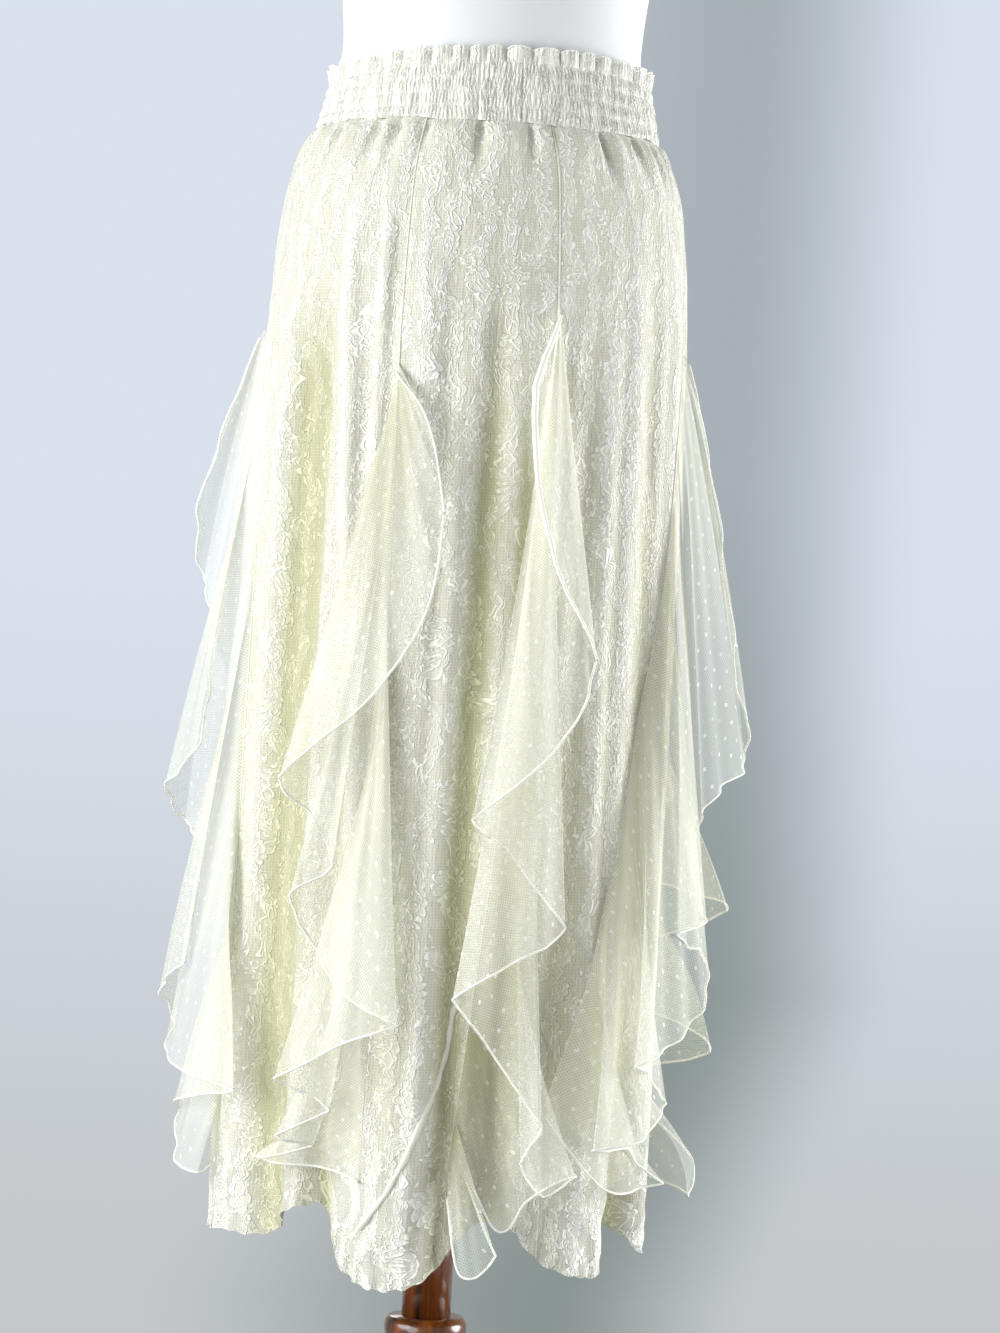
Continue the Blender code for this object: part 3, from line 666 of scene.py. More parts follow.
def garlands(add, plane):
    """Upright garlands 21 mm apart, each 12.5 mm lower than the one on its left. Within 58 mm
    each sways 2.6 mm toward one neighbour and the other. Its half width is
    3.4 + 1.6 cos(turn) mm, one turn in 29 mm, and 6.2 mm scallops stand 2.3 mm beyond that. A
    flower of five petals, 7 mm across, lies at each swell, and two cords cross like a chain
    between one flower and the next. Returns two masks: inside a garland, and on its cords."""
    spacing, swell = 21.0, 29.0
    # all is pushed about by two uneven fields, in patches of 45 mm and of 7 mm
    place = add("SeparateXYZ", {0: moved(add, moved(add, plane, 0.022, 1.0, 30.0),
                                         0.15, 1.5, 4.0)})
    columns = add("Math", {0: place.outputs[0], 1: 1 / spacing}, operation="MULTIPLY")
    column = add("Math", {0: columns}, operation="ROUND")
    # plus or minus one in turn, so that neighbours sway against each other
    side = wave(add, column, 2.0, "COSINE")
    lean = add("Math", {0: side, 1: wave(add, place.outputs[1], 58.0)}, operation="MULTIPLY")
    past = add("Math", {0: columns, 1: column}, operation="SUBTRACT")
    straight = add("Math", {0: past, 1: spacing}, operation="MULTIPLY")
    across = add("Math", {0: lean, 1: 2.6, 2: straight}, operation="MULTIPLY_ADD")
    along = add("Math", {0: column, 1: 12.5, 2: place.outputs[1]}, operation="MULTIPLY_ADD")
    beside = add("Math", {0: across}, operation="ABSOLUTE")
    # outline
    half = add("Math", {0: wave(add, along, swell, "COSINE"), 1: 1.6, 2: 3.4},
               operation="MULTIPLY_ADD")
    bow = add("Math", {0: wave(add, along, 12.4)}, operation="ABSOLUTE")
    scallop = add("Math", {0: bow, 1: 0.6}, operation="POWER")
    outline = add("Math", {0: scallop, 1: 2.3, 2: half}, operation="MULTIPLY_ADD")
    beyond = add("Math", {0: beside, 1: outline}, operation="SUBTRACT")
    inside = add("MapRange", {0: beyond, 1: -0.4, 2: 0.4, 3: 1.0, 4: 0.0},
                 interpolation_type="SMOOTHSTEP")
    rim = near_zero(add, beyond, 0.35, 1.00)
    # flowers
    up = add("Math", {0: along, 1: swell / 2, 2: -swell / 2}, operation="WRAP")
    away = add("VectorMath", {0: add("CombineXYZ", {0: across, 1: up})},
               operation="LENGTH").outputs["Value"]
    turn = add("Math", {0: up, 1: across}, operation="ARCTAN2")
    petal = add("Math", {0: wave(add, turn, math.tau / 2.5)}, operation="ABSOLUTE")
    bloom = add("Math", {0: petal, 1: 1.3, 2: 2.4}, operation="MULTIPLY_ADD")
    from_bloom = add("Math", {0: away, 1: bloom}, operation="SUBTRACT")
    flower = add("Math", {0: near_zero(add, from_bloom, 0.3, 0.9),
                          1: near_zero(add, away, 0.5, 1.2)}, operation="MAXIMUM")
    # crossing cords, outside the flowers
    apart = add("Math", {0: wave(add, along, swell / 2)}, operation="ABSOLUTE")
    from_cord = add("Math", {0: apart, 1: -2.4, 2: beside}, operation="MULTIPLY_ADD")
    chain = add("Math", {0: near_zero(add, from_cord, 0.3, 0.9),
                         1: add("MapRange", {0: from_bloom, 1: 0.0, 2: 0.8})},
                operation="MULTIPLY")
    drawn = add("Math", {0: flower, 1: chain}, operation="MAXIMUM")
    return inside, add("Math", {0: rim, 1: drawn}, operation="MAXIMUM")


def corded_lace(name, hollow, yarn, see_through):
    """Corded floral lace over a net: garlands about 10 mm wide, and stray cord squiggles
    over the bare net between them. Real net holes of 0.8 mm are drawn 2.2 mm apart so that
    they show. The eye gets a crinkled, matt, creamy surface with fine raised outlines.
    Hollow and yarn are the colours of the net between its threads and of the threads. In
    see-through lace the attribute bare says how much its net lets through."""
    material, shader, add = new_material(name, {"Roughness": 0.82, "Sheen Weight": 0.12,
                                                "Sheen Roughness": 0.6})
    plane = flat_cloth(add)
    garland, drawn = garlands(add, plane)
    # stray cords follow the level lines of an uneven field
    squat = add("VectorMath", {0: plane, 1: (1.0, 0.5, 1.0)}, operation="MULTIPLY")
    field = add("TexNoise", {"Vector": squat, "Scale": 1 / 9.0, "Detail": 2.0,
                             "Roughness": 0.55}, noise_dimensions="2D")
    stray = near_zero(add, add("Math", {0: field, 1: 0.5}, operation="SUBTRACT"), 0.010, 0.036)
    # garlands are worked heavier in some patches and fainter in others
    patch = add("TexNoise", {"Vector": plane, "Scale": 0.035, "Detail": 2.0},
                noise_dimensions="2D")
    full = add("MapRange", {0: patch, 1: 0.34, 2: 0.46, 3: 0.5, 4: 1.0})
    over = add("MapRange", {0: patch, 1: 0.40, 2: 0.58, 3: 0.9, 4: 0.25})
    raised = add("Math", {0: add("Math", {0: drawn, 1: full}, operation="MULTIPLY"),
                          1: add("Math", {0: stray, 1: over}, operation="MULTIPLY")},
                 operation="MAXIMUM")
    # crinkle: upright wrinkles, 2.5 mm wide and 8 mm long, of net drawn in by the cord
    wrinkle = add("TexNoise", {"Vector": add("Mapping", {0: plane, "Scale": (0.40, 0.13, 1.0)}),
                               "Scale": 1.0, "Detail": 3.0, "Roughness": 0.6},
                  noise_dimensions="2D")
    net = add("TexVoronoi", {"Vector": plane, "Scale": 1 / 2.2, "Randomness": 0.15},
              voronoi_dimensions="2D", feature="DISTANCE_TO_EDGE")
    thread = add("MapRange", {0: net, 1: 0.05, 2: 0.22, 3: 1.0, 4: 0.0})
    worked = add("Math", {0: garland, 1: 0.2, 2: raised}, operation="MULTIPLY_ADD")
    height = add("Math", {0: wrinkle, 1: 1.2, 2: worked}, operation="MULTIPLY_ADD")
    ground = add("Mix", {0: thread, 6: hollow, 7: yarn}, data_type="RGBA")
    filled = add("Mix", {0: garland, 6: ground.outputs[2], 7: "DFDFD2"}, data_type="RGBA")
    corded = add("Mix", {0: raised, 6: filled.outputs[2], 7: "FFFFFA"}, data_type="RGBA")
    # painted shade: where the shade attribute is high, as in deep folds, the colour is painted
    # darker and yellower
    shade = add("Attribute", attribute_name="shade").outputs["Fac"]
    deep = add("Mix", {0: shade, 6: corded.outputs[2], 7: "DEDDC1"}, data_type="RGBA",
               blend_type="MULTIPLY")
    feed(shader, {"Base Color": deep.outputs[2],
                  "Normal": add("Bump", {"Height": height, "Strength": 1.0,
                                         "Distance": 0.0008})})
    if see_through:
        # there is no second layer near the hem, so the bare net lets the background through
        bare = add("Attribute", attribute_name="bare").outputs["Fac"]
        solid = add("Math", {0: garland, 1: raised}, operation="MAXIMUM")
        hole = add("Math", {0: 1.0, 1: solid}, operation="SUBTRACT", use_clamp=True)
        lost = add("Math", {0: hole, 1: bare}, operation="MULTIPLY")
        feed(shader, {"Alpha": add("Math", {0: 1.0, 1: lost}, operation="SUBTRACT")})
    return material


def dotted_tulle(name):
    """Point d'esprit: fine hexagonal nylon net with small woven dots, 15 mm apart in columns
    12.5 mm apart, every other column dropped by half. Real holes of 1 mm are drawn 1.9 mm
    apart so that they show. The eye gets a pale veil with soft white specks that turns
    denser where it lies in layers."""
    material, shader, add = new_material(name, {"Roughness": 0.75, "Sheen Weight": 0.2,
                                                "Sheen Roughness": 0.5})
    column_apart, row_apart = 12.5, 15.0
    plane = flat_cloth(add)
    net = add("TexVoronoi", {"Vector": plane, "Scale": 1 / 1.9, "Randomness": 0.1},
              voronoi_dimensions="2D", feature="DISTANCE_TO_EDGE")
    thread = add("MapRange", {0: net, 1: 0.03, 2: 0.30, 3: 1.0, 4: 0.0})
    place = add("SeparateXYZ", {0: plane})
    columns = add("Math", {0: place.outputs[0], 1: column_apart}, operation="DIVIDE")
    column = add("Math", {0: columns}, operation="FLOOR")
    dropped = add("Math", {0: column, 1: 0.5}, operation="MULTIPLY")
    rows = add("Math", {0: place.outputs[1], 1: 1 / row_apart, 2: dropped},
               operation="MULTIPLY_ADD")
    past = add("Math", {0: columns, 1: column}, operation="SUBTRACT")
    x = add("Math", {0: past, 1: 0.5}, operation="SUBTRACT")
    y = add("Math", {0: add("Math", {0: rows}, operation="FRACT"), 1: 0.5},
            operation="SUBTRACT")
    # a dot is a third taller than it is wide
    arm = add("CombineXYZ", {0: add("Math", {0: x, 1: column_apart}, operation="MULTIPLY"),
                             1: add("Math", {0: y, 1: 11.0}, operation="MULTIPLY")})
    away = add("VectorMath", {0: arm}, operation="LENGTH").outputs["Value"]
    dot = near_zero(add, away, 1.0, 1.9)
    # some dots are woven thinner than others
    uneven = add("TexNoise", {"Vector": plane, "Scale": 0.045, "Detail": 1.0},
                 noise_dimensions="2D")
    strength = add("MapRange", {0: uneven, 1: 0.35, 2: 0.60, 3: 0.24, 4: 0.66})
    veil = add("Math", {0: thread, 1: 0.27, 2: 0.14}, operation="MULTIPLY_ADD")
    # folds crowd together toward the seam, so the veil is denser there
    shade = add("Attribute", attribute_name="shade").outputs["Fac"]
    crowded = add("Math", {0: shade, 1: 0.30, 2: veil}, operation="MULTIPLY_ADD")
    seen = add("Math", {0: crowded, 1: add("Math", {0: dot, 1: strength}, operation="MULTIPLY")},
               operation="MAXIMUM")
    # painted shade: where the shade mask is high the yarn is also painted darker and yellower
    yarn = add("Mix", {0: shade, 6: "F8F9EE", 7: "E8E8D3"}, data_type="RGBA")
    dotted = add("Mix", {0: dot, 6: yarn.outputs[2], 7: "FEFEF8"}, data_type="RGBA")
    # painted shade: sunk between two lobes of the lace, the tulle is painted darker and yellower
    sunk = add("Attribute", attribute_name="sunk").outputs["Fac"]
    lit = add("Mix", {0: sunk, 6: dotted.outputs[2], 7: "CBCAB0"}, data_type="RGBA",
              blend_type="MULTIPLY")
    feed(shader, {"Base Color": lit.outputs[2], "Alpha": seen})
    return material


def overlocked(name, between, thread):
    """An overlocked edge: nylon thread wound tight round the raw edge, in two colours for
    the gaps between the turns and the thread. Real turns 1 mm apart are drawn 2.4 mm apart,
    upright or level, so that they show. The eye gets a thin cord along the edge, bright on
    the tulle's rolled hems and duller where it joins two layers of lace."""
    material, shader, add = new_material(name, {"Roughness": 0.6})
    wound = add("TexWave", {"Vector": add("TexCoord").outputs["Object"], "Scale": 260.0,
                            "Distortion": 1.5, "Detail": 1.0},
                wave_type="BANDS", bands_direction="DIAGONAL").outputs["Fac"]
    wrapped = add("Mix", {0: wound, 6: between, 7: thread}, data_type="RGBA")
    feed(shader, {"Base Color": wrapped.outputs[2],
                  "Normal": add("Bump", {"Height": wound, "Strength": 0.4,
                                         "Distance": 0.0004})})
    return material


def stretched_jersey(name):
    """Polyester jersey stretched smooth over a foam form: 0.5 mm ribs, drawn 1.2 mm apart
    so that they show. The eye gets a flat cool white with hardly any texture."""
    material, shader, add = new_material(name, {"Roughness": 0.62, "Sheen Weight": 0.1})
    place = add("TexCoord").outputs["Object"]
    ribs = add("TexWave", {"Vector": place, "Scale": 260.0, "Distortion": 0.4},
               wave_type="BANDS", bands_direction="X").outputs["Fac"]
    cloudy = add("TexNoise", {"Vector": place, "Scale": 9.0, "Detail": 2.0})
    worn = add("MapRange", {0: cloudy, 1: 0.3, 2: 0.7})
    colour = add("Mix", {0: worn, 6: "E1E3E6", 7: "E8E9EB"}, data_type="RGBA")
    feed(shader, {"Base Color": colour.outputs[2],
                  "Normal": add("Bump", {"Height": ribs, "Strength": 0.08,
                                         "Distance": 0.0003})})
    return material


def varnished_beech(name, grain_scale):
    """Beech stained amber brown under gloss varnish, turned on a lathe. Its grain runs along
    the wood, in bands 9 mm wide with finer lines in them. Real pores of 0.2 mm are drawn
    1.2 mm wide so that they show. The eye gets warm streaks and sharp highlights."""
    material, shader, add = new_material(name, {"Roughness": 0.28, "Coat Weight": 0.6,
                                                "Coat Roughness": 0.08})
    along = add("Mapping", {0: add("TexCoord").outputs["Object"], "Scale": grain_scale})
    grain = add("TexNoise", {"Vector": along, "Scale": 0.35, "Detail": 4.0, "Roughness": 0.55})
    pores = add("TexNoise", {"Vector": along, "Scale": 2.6, "Detail": 2.0})
    late = add("MapRange", {0: grain, 1: 0.32, 2: 0.68})
    open_pore = add("MapRange", {0: pores, 1: 0.60, 2: 0.72, 3: 0.0, 4: 0.5})
    streak = add("Mix", {0: late, 6: "220F05", 7: "84481A"}, data_type="RGBA")
    colour = add("Mix", {0: open_pore, 6: streak.outputs[2], 7: "1A0A03"}, data_type="RGBA")
    feed(shader, {"Base Color": colour.outputs[2],
                  "Normal": add("Bump", {"Height": pores, "Strength": 0.1,
                                         "Distance": 0.0003})})
    return material


LACE = corded_lace("corded_lace_over_net", "CACABB", "DCDCCE", True)
BAND_LACE = corded_lace("corded_lace_gathered_on_elastic", "F1F1E6", "F9F9F0", False)
TULLE = dotted_tulle("point_d_esprit_tulle")
HEM_THREAD = overlocked("rolled_overlock_hem", "EFEFE3", "FDFDF7")
SEAM_THREAD = overlocked("overlocked_lace_seam", "DFDFD0", "ECECE0")
JERSEY = stretched_jersey("stretched_white_jersey")
WOOD_UPRIGHT = varnished_beech("varnished_beech_turned_upright", (330.0, 330.0, 14.0))
WOOD_FLAT = varnished_beech("varnished_beech_turned_flat", (14.0, 330.0, 330.0))


def stands_for(node_name, slot, *pieces):
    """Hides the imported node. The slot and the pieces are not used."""
    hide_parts(node_name)


def dents(angle, z, foot, edge):
    """Depth of the lace's small uneven crinkles. Those of the hem fade out over 6 cm above
    it, and all are gone within 4 mm of a seam that a cascade is sewn into. Foot is the
    height of the hem, and edge the distance to the nearer seam."""
    near_hem = np.exp(-(((z - foot) / 0.055) ** 2))
    depth = 0.0
    for size, tall, cells, seed, only_hem in CRINKLES:
        share = near_hem if only_hem else 1.0
        depth = depth + size * share * crinkle(angle, z / tall, cells, seed)
    sewn_down = np.clip((0.87 - z) / 0.03, 0, 1) * np.exp(-((edge / 0.004) ** 2))
    return depth * (1 - sewn_down)


def puffed(angle, fall):
    """Just under the band the lace is drawn in by 1.4 mm, and then puffs out by up to 2.3 mm,
    most 11 mm down, in uneven lobes 17 mm wide."""
    lobe = crinkle(angle, 0.5 + 0 * fall, 46, 13)
    return (0.0062 * fall / 0.011 * np.exp(-fall / 0.011) * lobe
            - 0.0014 * np.exp(-fall / 0.003))


def fold_shade(angle, z):
    """Strength of the painted shade on the lace, from 0 to 1, where 1 is a fold 10 mm below
    the cloth beside it. A little is painted all over, and more lower on the skirt, but less
    again near the hem."""
    deep = (lobes(RECESSES, angle, z) - creases(angle, z)) / 0.010
    low_down = np.clip((0.80 - z) / 0.40, 0.0, 1.0) * np.clip((z - 0.20) / 0.10, 0.0, 1.0)
    return np.clip(deep + 0.08 + 0.4 * low_down, 0.0, 1.0)


def twisted_ridge():
    """The lace of the front gore is caught into a low ridge that runs slanting down the
    middle lobe, half sunk in the cloth and twisted: its radius is 2.4 + 0.4 sin mm."""
    path = np.array(TWISTED_RIDGE)
    steps = np.arange(len(path))
    at = np.linspace(0, len(path) - 1, 260)
    turn, height = np.interp(at, steps, path[:, 0]), np.interp(at, steps, path[:, 1])
    return tube("gore_front_ridge", on_lace(turn, height, -0.0015),
                0.0024 + 0.0004 * np.sin(at * 9.0), SEAM_THREAD, sides=10)


def gore(name, first, last, columns, rows=300):
    """A lace gore: columns between its seams, rows from the band to the lobed hem, which
    scallops and an uneven cut move up and down by 0.8 and 3 mm. Over its last centimetre it
    ruffles outward in the same waves. Above the cascades both seams lie in a groove."""
    lap = 360.0 if seam_angle(first, BAND_FOOT) > seam_angle(last, BAND_FOOT) else 0.0
    across = np.linspace(0.0, 1.0, columns + 1)[:, None]

    def spanned(z):
        start = seam_angle(first, z)
        return start + (seam_angle(last, z) + lap - start) * across

    at_hem = spanned(LOWEST_HEM)
    walk = np.radians(at_hem) * SPREAD
    scallop = np.sin(math.tau * walk / HEM_WAVE + 1.5 * np.sin(walk / 0.019))
    foot = hem_height(at_hem) + 0.0008 * scallop + 0.006 * (crinkle(at_hem, 2.5, 46, 11) - 0.5)
    head = foot_line(spanned(BAND_FOOT))
    z = head + (foot - head) * np.linspace(1.0, 0.0, rows + 1)[None, :] ** 1.15
    angle = spanned(z)
    wide = np.radians(angle[-1] - angle[0]) * SPREAD
    edge = np.minimum(across, 1 - across) * wide[None, :]
    groove = -0.0011 * np.exp(-((edge / 0.0028) ** 2)) * np.clip((z - 0.80) / 0.05, 0, 1)
    ruffle = 0.0015 * np.sin(math.tau * walk / HEM_WAVE + 1.1) * np.exp(-(z - foot) / 0.011)
    out = groove + ruffle + puffed(angle, head - z) - dents(angle, z, foot, edge)
    grid = on_lace(angle, z, out)
    bare = 0.22 * np.clip((0.26 - z) / 0.08, 0.0, 1.0)
    uv = np.stack([np.radians(angle) * SPREAD, z], -1)
    # the shade mask sets where painted shade darkens and yellows the lace
    piece = mesh_piece(name + "_lace", grid, grid_faces(*grid.shape[:2]), LACE, uv,
                       {"shade": fold_shade(angle, z), "bare": bare})
    # the seam's edge thins to nothing where the cascade covers it
    thick = np.interp(z[0], [0.35, 0.55], [0.0003, 0.0008])
    sewn = [tube(name + "_edge", grid[0], thick, SEAM_THREAD, sides=6)]
    if name == "gore_front":
        sewn.append(twisted_ridge())
    stands_for(name, "lace", piece, *sewn)


# ---------------------------------------------------------------- cascades
def cascade_grid(seam, rows, steps, across):
    """Points of a cascade: straight threads from the seam to the free hem, whose curve
    passes through each row of the table and folds back at its corners. The hem ripples by
    half a millimetre and the cloth swells in soft 2 mm waves where it hangs 5 cm out, and in
    proportion elsewhere. Returns the points, with the row of the table along them and the
    share of the way from seam to hem across them."""
    table = np.column_stack([np.arange(len(rows), dtype=float), rows])
    u = np.linspace(0, len(rows) - 1, steps * (len(rows) - 1) + 1)[:, None]
    v = np.linspace(0.0, 1.0, across + 1)[None, :]
    top, low, out = (read_off(table, k, u) for k in (1, 2, 4))
    root = seam_angle(seam, top)
    angle = root + (read_off(table, 3, u, corners=True) - root) * v**0.95
    hem_ripple = 0.0005 * np.sin(math.tau * u / 0.37 + 1.3 * np.sin(u * 1.7))
    swell = 0.0022 * np.sin(math.tau * u / 0.85 + 0.8 * np.sin(u))
    lift = ROOT + out * v**0.85 + (hem_ripple * v**8 + swell * v) * (out / 0.05)
    return on_lace(angle, top + (low - top) * v, lift), u, v


def unroll(root, hem):
    """Flat pattern of a ruled flounce: its threads are laid out one after another, each
    turned by the angles of the two triangles between it and the last."""
    length = np.linalg.norm(hem - root, axis=1)
    cross = np.linalg.norm(hem[1:] - root[:-1], axis=1)

    def corner(p, a, b):
        u, v = a - p, b - p
        sizes = np.linalg.norm(u, axis=1) * np.linalg.norm(v, axis=1)
        return np.arccos(np.clip((u * v).sum(1) / np.maximum(sizes, 1e-12), -1, 1))

    opening = corner(root[:-1], hem[:-1], hem[1:])
    closing = corner(hem[1:], root[:-1], root[1:])
    turn = np.concatenate([[0.0], np.cumsum(opening - closing)])
    way = np.stack([np.cos(turn), np.sin(turn)], 1)
    ahead = np.stack([np.cos(turn[:-1] + opening), np.sin(turn[:-1] + opening)], 1)
    step = cross[:, None] * ahead - length[1:, None] * way[1:]
    start = np.concatenate([[[0.0, 0.0]], np.cumsum(step, 0)])
    return start, start + length[:, None] * way


def pattern_size(points):
    """Sides of the smallest rectangle round flat points, tried at every degree."""
    turn = np.radians(np.arange(90))[:, None]
    along = np.cos(turn) * points[:, 0] + np.sin(turn) * points[:, 1]
    across = np.cos(turn) * points[:, 1] - np.sin(turn) * points[:, 0]
    sides = np.stack([np.ptp(along, axis=1), np.ptp(across, axis=1)], 1)
    return sorted(sides[np.argmin(sides.prod(1))].tolist(), reverse=True)


def cascade(seam, rows, steps=30, across=30):
    """A tulle cascade with its rolled hem carried along the free edge; where the hem is
    turned over on itself it is drawn thicker. Shade marks where layers crowd together: near
    the seam, and in streaks that fan out from it and fade toward the hem. There the veil is
    denser, and painted shade makes it darker and yellower."""
    name = "cascade_" + seam
    grid, u, v = cascade_grid(seam, rows, steps, across)
    start, end = unroll(grid[:, 0], grid[:, -1])
    flat = start[:, None, :] + (end - start)[:, None, :] * v[..., None]
    uneven = 2.1 * np.sin(1.9 * u) + 1.3 * np.sin(4.3 * u)
    streaks = 0.5 + 0.5 * np.sin(math.tau * u / 0.43 + uneven)
    shade = np.clip(1.0 - v * 1.5, 0.0, 1.0) + 0.6 * streaks**2 * (1 - v**2)
    # painted shade where the cascade lies sunk between lobes of the lace, most near the seam
    sinking_shade = np.array(SUNK_SHADE.get(seam, ((0.0, 0.0), (1.0, 0.0))))
    sunk = np.interp(grid[..., 2], sinking_shade[:, 0], sinking_shade[:, 1]) * (1 - v**2) ** 2
    piece = mesh_piece(name + "_tulle", grid, grid_faces(*grid.shape[:2]), TULLE, flat,
                       {"shade": np.clip(shade, 0.0, 1.0), "sunk": sunk})
    doubled = np.array(DOUBLED_HEM.get(seam, ((0.0, ROLLED),)))
    thick = np.interp(u[:, 0], doubled[:, 0], doubled[:, 1])
    edge_line = tube(name + "_hem", grid[:, -1], thick, HEM_THREAD, sides=8)
    stands_for(name, "tulle", piece, edge_line)
    sides = pattern_size(flat.reshape(-1, 2))


# ---------------------------------------------------------------- waistband
def puckers(angle, row):
    """How far the casing stands out at a row of elastic, counted from the foot. Each row
    pinches it and between two rows it puffs out as the root of a sine. That shows crisply
    round the left. From one casing seam to the other it is lost in slender diamonds, the
    lower of two slanting waves whose phases wander."""
    a = np.radians(angle)
    wander = 2.2 * np.sin(7 * a + 0.8 * row) + 1.3 * np.sin(17 * a - 1.1 * row)
    leaning = abs(np.sin(PUCKERS / 2 * a + wander + 1.3 * row))
    crossing = abs(np.sin(PUCKERS / 2 * a + wander - 1.6 * row + 2.0 * np.sin(5 * a)))
    diamonds = np.minimum(leaning, crossing) ** 0.6
    puff = abs(np.sin(math.pi * row)) ** 0.5
    small = crinkle(angle, 2.0 * row, 260, 21)
    lost = 0.0013 * diamonds * (0.3 + 0.7 * puff) + 0.0006 * puff + 0.0008 * small
    crisp = puff * (0.0016 + 0.0010 * pleats(angle, row))
    start, end = CASING_SEAMS
    return np.where((angle - start) % 360.0 < end - start, lost, crisp)


def pleats(angle, row):
    """Fine pleats of the gathered cloth, from 0 to 1, two for each turn of a wandering sine."""
    a = np.radians(angle)
    return abs(np.sin(PUCKERS / 2 * a + 2.0 * np.sin(9 * a) + 0.5 * row)) ** 0.6


def waistband(columns=1512, casing_rows=46, header_rows=12):
    """The casing gathered by rows of elastic, with upright creases 1.2 mm deep through all
    rows. The header above stands up in flat puffs with deep narrow creases between them."""
    angle = np.linspace(0.0, 360.0, columns, endpoint=False)[:, None]
    a = np.radians(angle)
    climb = np.append(np.linspace(0.0, 1.0, casing_rows), np.ones(header_rows))[None, :]
    frill = np.append(np.zeros(casing_rows - 1), np.linspace(0.0, 1.0, header_rows + 1))[None, :]
    row = climb * ELASTIC_ROWS
    puffs = abs(np.sin(FRILLS / 2 * a + 1.2 * np.sin(3 * a) + 0.8 * np.sin(8 * a + 1))) ** 0.45
    out = puckers(angle, row) * (1 - frill)
    out = out + (0.0062 * puffs + 0.0008 * pleats(angle, row) - 0.0020) * frill**0.5
    to_crease = np.min([np.minimum((angle - at) % 360.0, (at - angle) % 360.0)
                        for at in BAND_CREASES + CASING_SEAMS], axis=0)
    # in front a degree is 2.3 mm of the band, and a crease reaches 0.9 mm to each side
    out = out - 0.0012 * np.exp(-((to_crease * 0.0023 / 0.0009) ** 2)) * (1 - frill)
    height = np.interp(climb + frill, [0.0, 1.0, 2.0], BAND_PROFILE[0])
    z = height + climb * (BAND_TILT * np.sin(a) - BAND_BOW * np.sin(a) ** 2)
    uneven = crinkle(angle, 1.5, 46, 23)
    z = z + frill * (0.0036 * (uneven - 0.5) + 0.0036 * puffs - 0.0026)
    z = z + (foot_line(angle) - BAND_FOOT) * np.clip(1 - climb * 6, 0, 1)
    wide, deep = (np.interp(height, BAND_PROFILE[0], BAND_PROFILE[k]) for k in (1, 2))
    grid = stood_off(angle, wide, deep, z, out)
    uv = np.stack([a * SPREAD * 1.3 + 0 * z, z], -1)
    # painted shade: the band is painted slightly darker and yellower the less it stands out, most
    # in its pinches and creases
    shade = 0.06 * (1 - np.clip(out / 0.0025, 0, 1))
    piece = mesh_piece("waistband_shirred", grid, grid_faces(*grid.shape[:2], ring=True),
                       BAND_LACE, uv, {"shade": shade})
    edge_line = tube("waistband_header_edge", grid[:, -1], 0.0006, HEM_THREAD, sides=6, ring=True)
    stands_for("waistband", "band", piece, edge_line)


form = lathe_piece("form_cover", FORM, JERSEY, columns=160, steps=6)
stands_for("form_torso", "form_cover", form)
waistband()
for row in GORES:
    gore(*row)
for seam, rows in CASCADES.items():
    cascade(seam, rows)
pole = lathe_piece("turned_pole", POLE_PROFILE, WOOD_UPRIGHT, columns=64, steps=4)
collar = lathe_piece("turned_collar", COLLAR_PROFILE, WOOD_UPRIGHT, columns=96, steps=6)
base = lathe_piece("turned_base", BASE_PROFILE, WOOD_FLAT, columns=128, steps=5)
stands_for("pole", "wood", pole)
stands_for("foot_collar", "wood", collar)
stands_for("base_disc", "wood", base)


# ---------------------------------------------------------------- stage
def floor():
    """A pale round floor that fades out between 24 and 42 cm from its middle."""
    corners = 64
    turn = math.tau * np.arange(corners) / corners
    ring = np.stack([FLOOR_RADIUS * np.cos(turn), FLOOR_RADIUS * np.sin(turn), 0 * turn], 1)
    mesh = bpy.data.meshes.new("studio_floor")
    mesh.from_pydata(ring, [], [list(range(corners))])
    material, shader, add = new_material("matt_pale_floor", {"Base Color": "A4ABB0",
                                                             "Roughness": 0.9})
    far = add("VectorMath", {0: add("TexCoord").outputs["Object"]}, operation="LENGTH")
    feed(shader, {"Alpha": near_zero(add, far.outputs["Value"], 0.24, 0.42)})
    mesh.materials.append(material)
    piece = bpy.data.objects.new("studio_floor", mesh)
    bpy.context.scene.collection.objects.link(piece)


def lamps():
    """Round soft lamps, each aimed at the middle of the skirt."""
    for name, place, size, power in LAMPS:
        data = bpy.data.lights.new(name, "AREA")
        data.shape, data.size, data.energy = "DISK", size, power
        lamp = bpy.data.objects.new(name, data)
        lamp.location = place
        aim = Vector((0.0, 0.0, 0.6)) - Vector(place)
        lamp.rotation_euler = aim.to_track_quat("-Z", "Y").to_euler()
        bpy.context.scene.collection.objects.link(lamp)


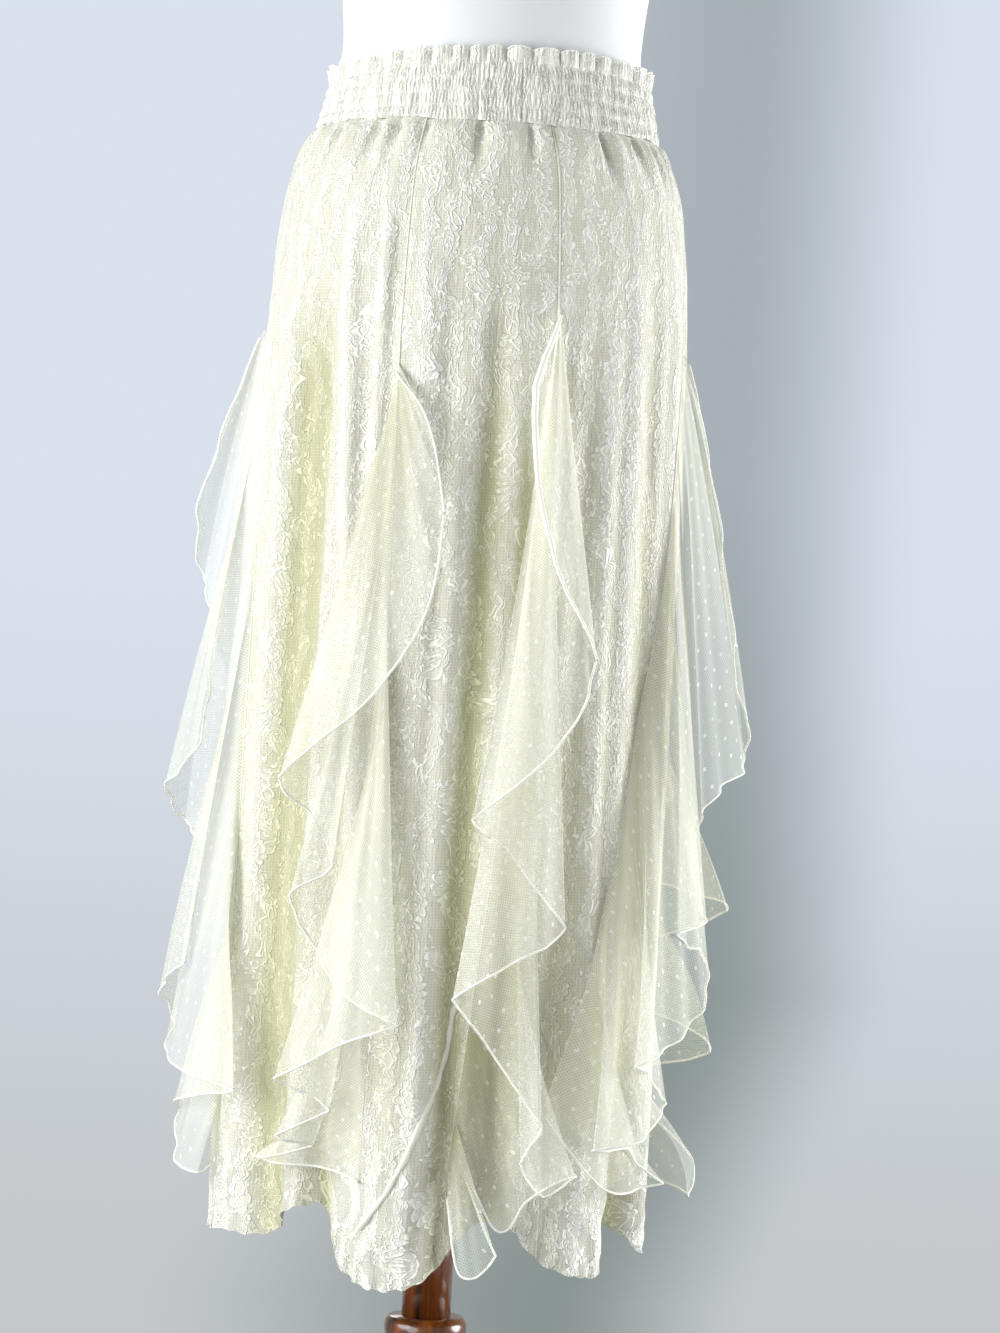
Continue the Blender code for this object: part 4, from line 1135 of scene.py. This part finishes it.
def wall():
    """An even pale light from all round, and a pale blue-grey wall that only the camera
    sees, painted darker low down as shade, with a painted soft shadow of the skirt on its right
    and under it. A place on the wall is the direction in which it is seen: how far right, and
    how far up."""
    world = bpy.data.worlds.new("studio_world")
    bpy.context.scene.world = world
    world.use_nodes = True
    world.node_tree.nodes.clear()
    add = partial(node, world)
    way = add("SeparateXYZ", {0: add("TexCoord").outputs["Generated"]})
    across, height = way.outputs[0], way.outputs[2]
    # painted shade: the wall is painted darker toward the bottom
    low = add("MapRange", {0: height, 1: 0.04, 2: -0.17}, interpolation_type="SMOOTHSTEP")
    plain = add("Mix", {0: low, 6: WALL_HIGH, 7: WALL_LOW}, data_type="RGBA")
    # the painted shadow's middle lies right of the skirt and swings under it near the floor
    middle = add("MapRange", {0: height, 1: -0.16, 2: -0.08, 3: 0.020, 4: 0.055})
    rise = add("MapRange", {0: across, 1: add("Math", {0: middle, 1: 0.11}, operation="SUBTRACT"),
                            2: middle}, interpolation_type="SMOOTHSTEP")
    fall = add("MapRange", {0: across, 1: middle, 2: add("Math", {0: middle, 1: 0.055}),
                            3: 1.0, 4: 0.0}, interpolation_type="SMOOTHSTEP")
    depth = add("MapRange", {0: height, 1: 0.05, 2: -0.09, 3: 0.66, 4: 0.92})
    dark = add("Math", {0: add("Math", {0: rise, 1: fall}, operation="MULTIPLY"), 1: depth},
               operation="MULTIPLY")
    seen = add("Mix", {0: dark, 6: plain.outputs[2], 7: WALL_SHADOW}, data_type="RGBA")
    lit = add("Background", {"Color": "EDF0F2", "Strength": AMBIENT})
    backdrop = add("Background", {"Color": seen.outputs[2], "Strength": 1.0})
    camera_ray = add("LightPath").outputs["Is Camera Ray"]
    add("OutputWorld", {0: add("MixShader", {0: camera_ray, 1: lit, 2: backdrop})})


def camera():
    """Level with the middle of the skirt, three metres in front of it and 3 cm to the right,
    rolled three degrees. The frame is twice the half frame high there."""
    aside, away, height = 0.0308, 3.0, 0.595
    half_frame, roll = 0.513, math.radians(3.0)
    data = bpy.data.cameras.new("camera")
    data.sensor_width = 36.0
    data.lens = data.sensor_width / 2 * away / half_frame
    view = bpy.data.objects.new("camera", data)
    c, s = math.cos(roll), math.sin(roll)
    view.matrix_world = Matrix(
        ((c, -s, 0, aside), (0, 0, -1, -away), (s, c, 0, height), (0, 0, 0, 1))
    )
    bpy.context.scene.collection.objects.link(view)
    bpy.context.scene.camera = view


floor()
lamps()
wall()
camera()
bpy.context.scene.view_settings.view_transform = "Standard"
bpy.context.scene.cycles.transparent_max_bounces = 32
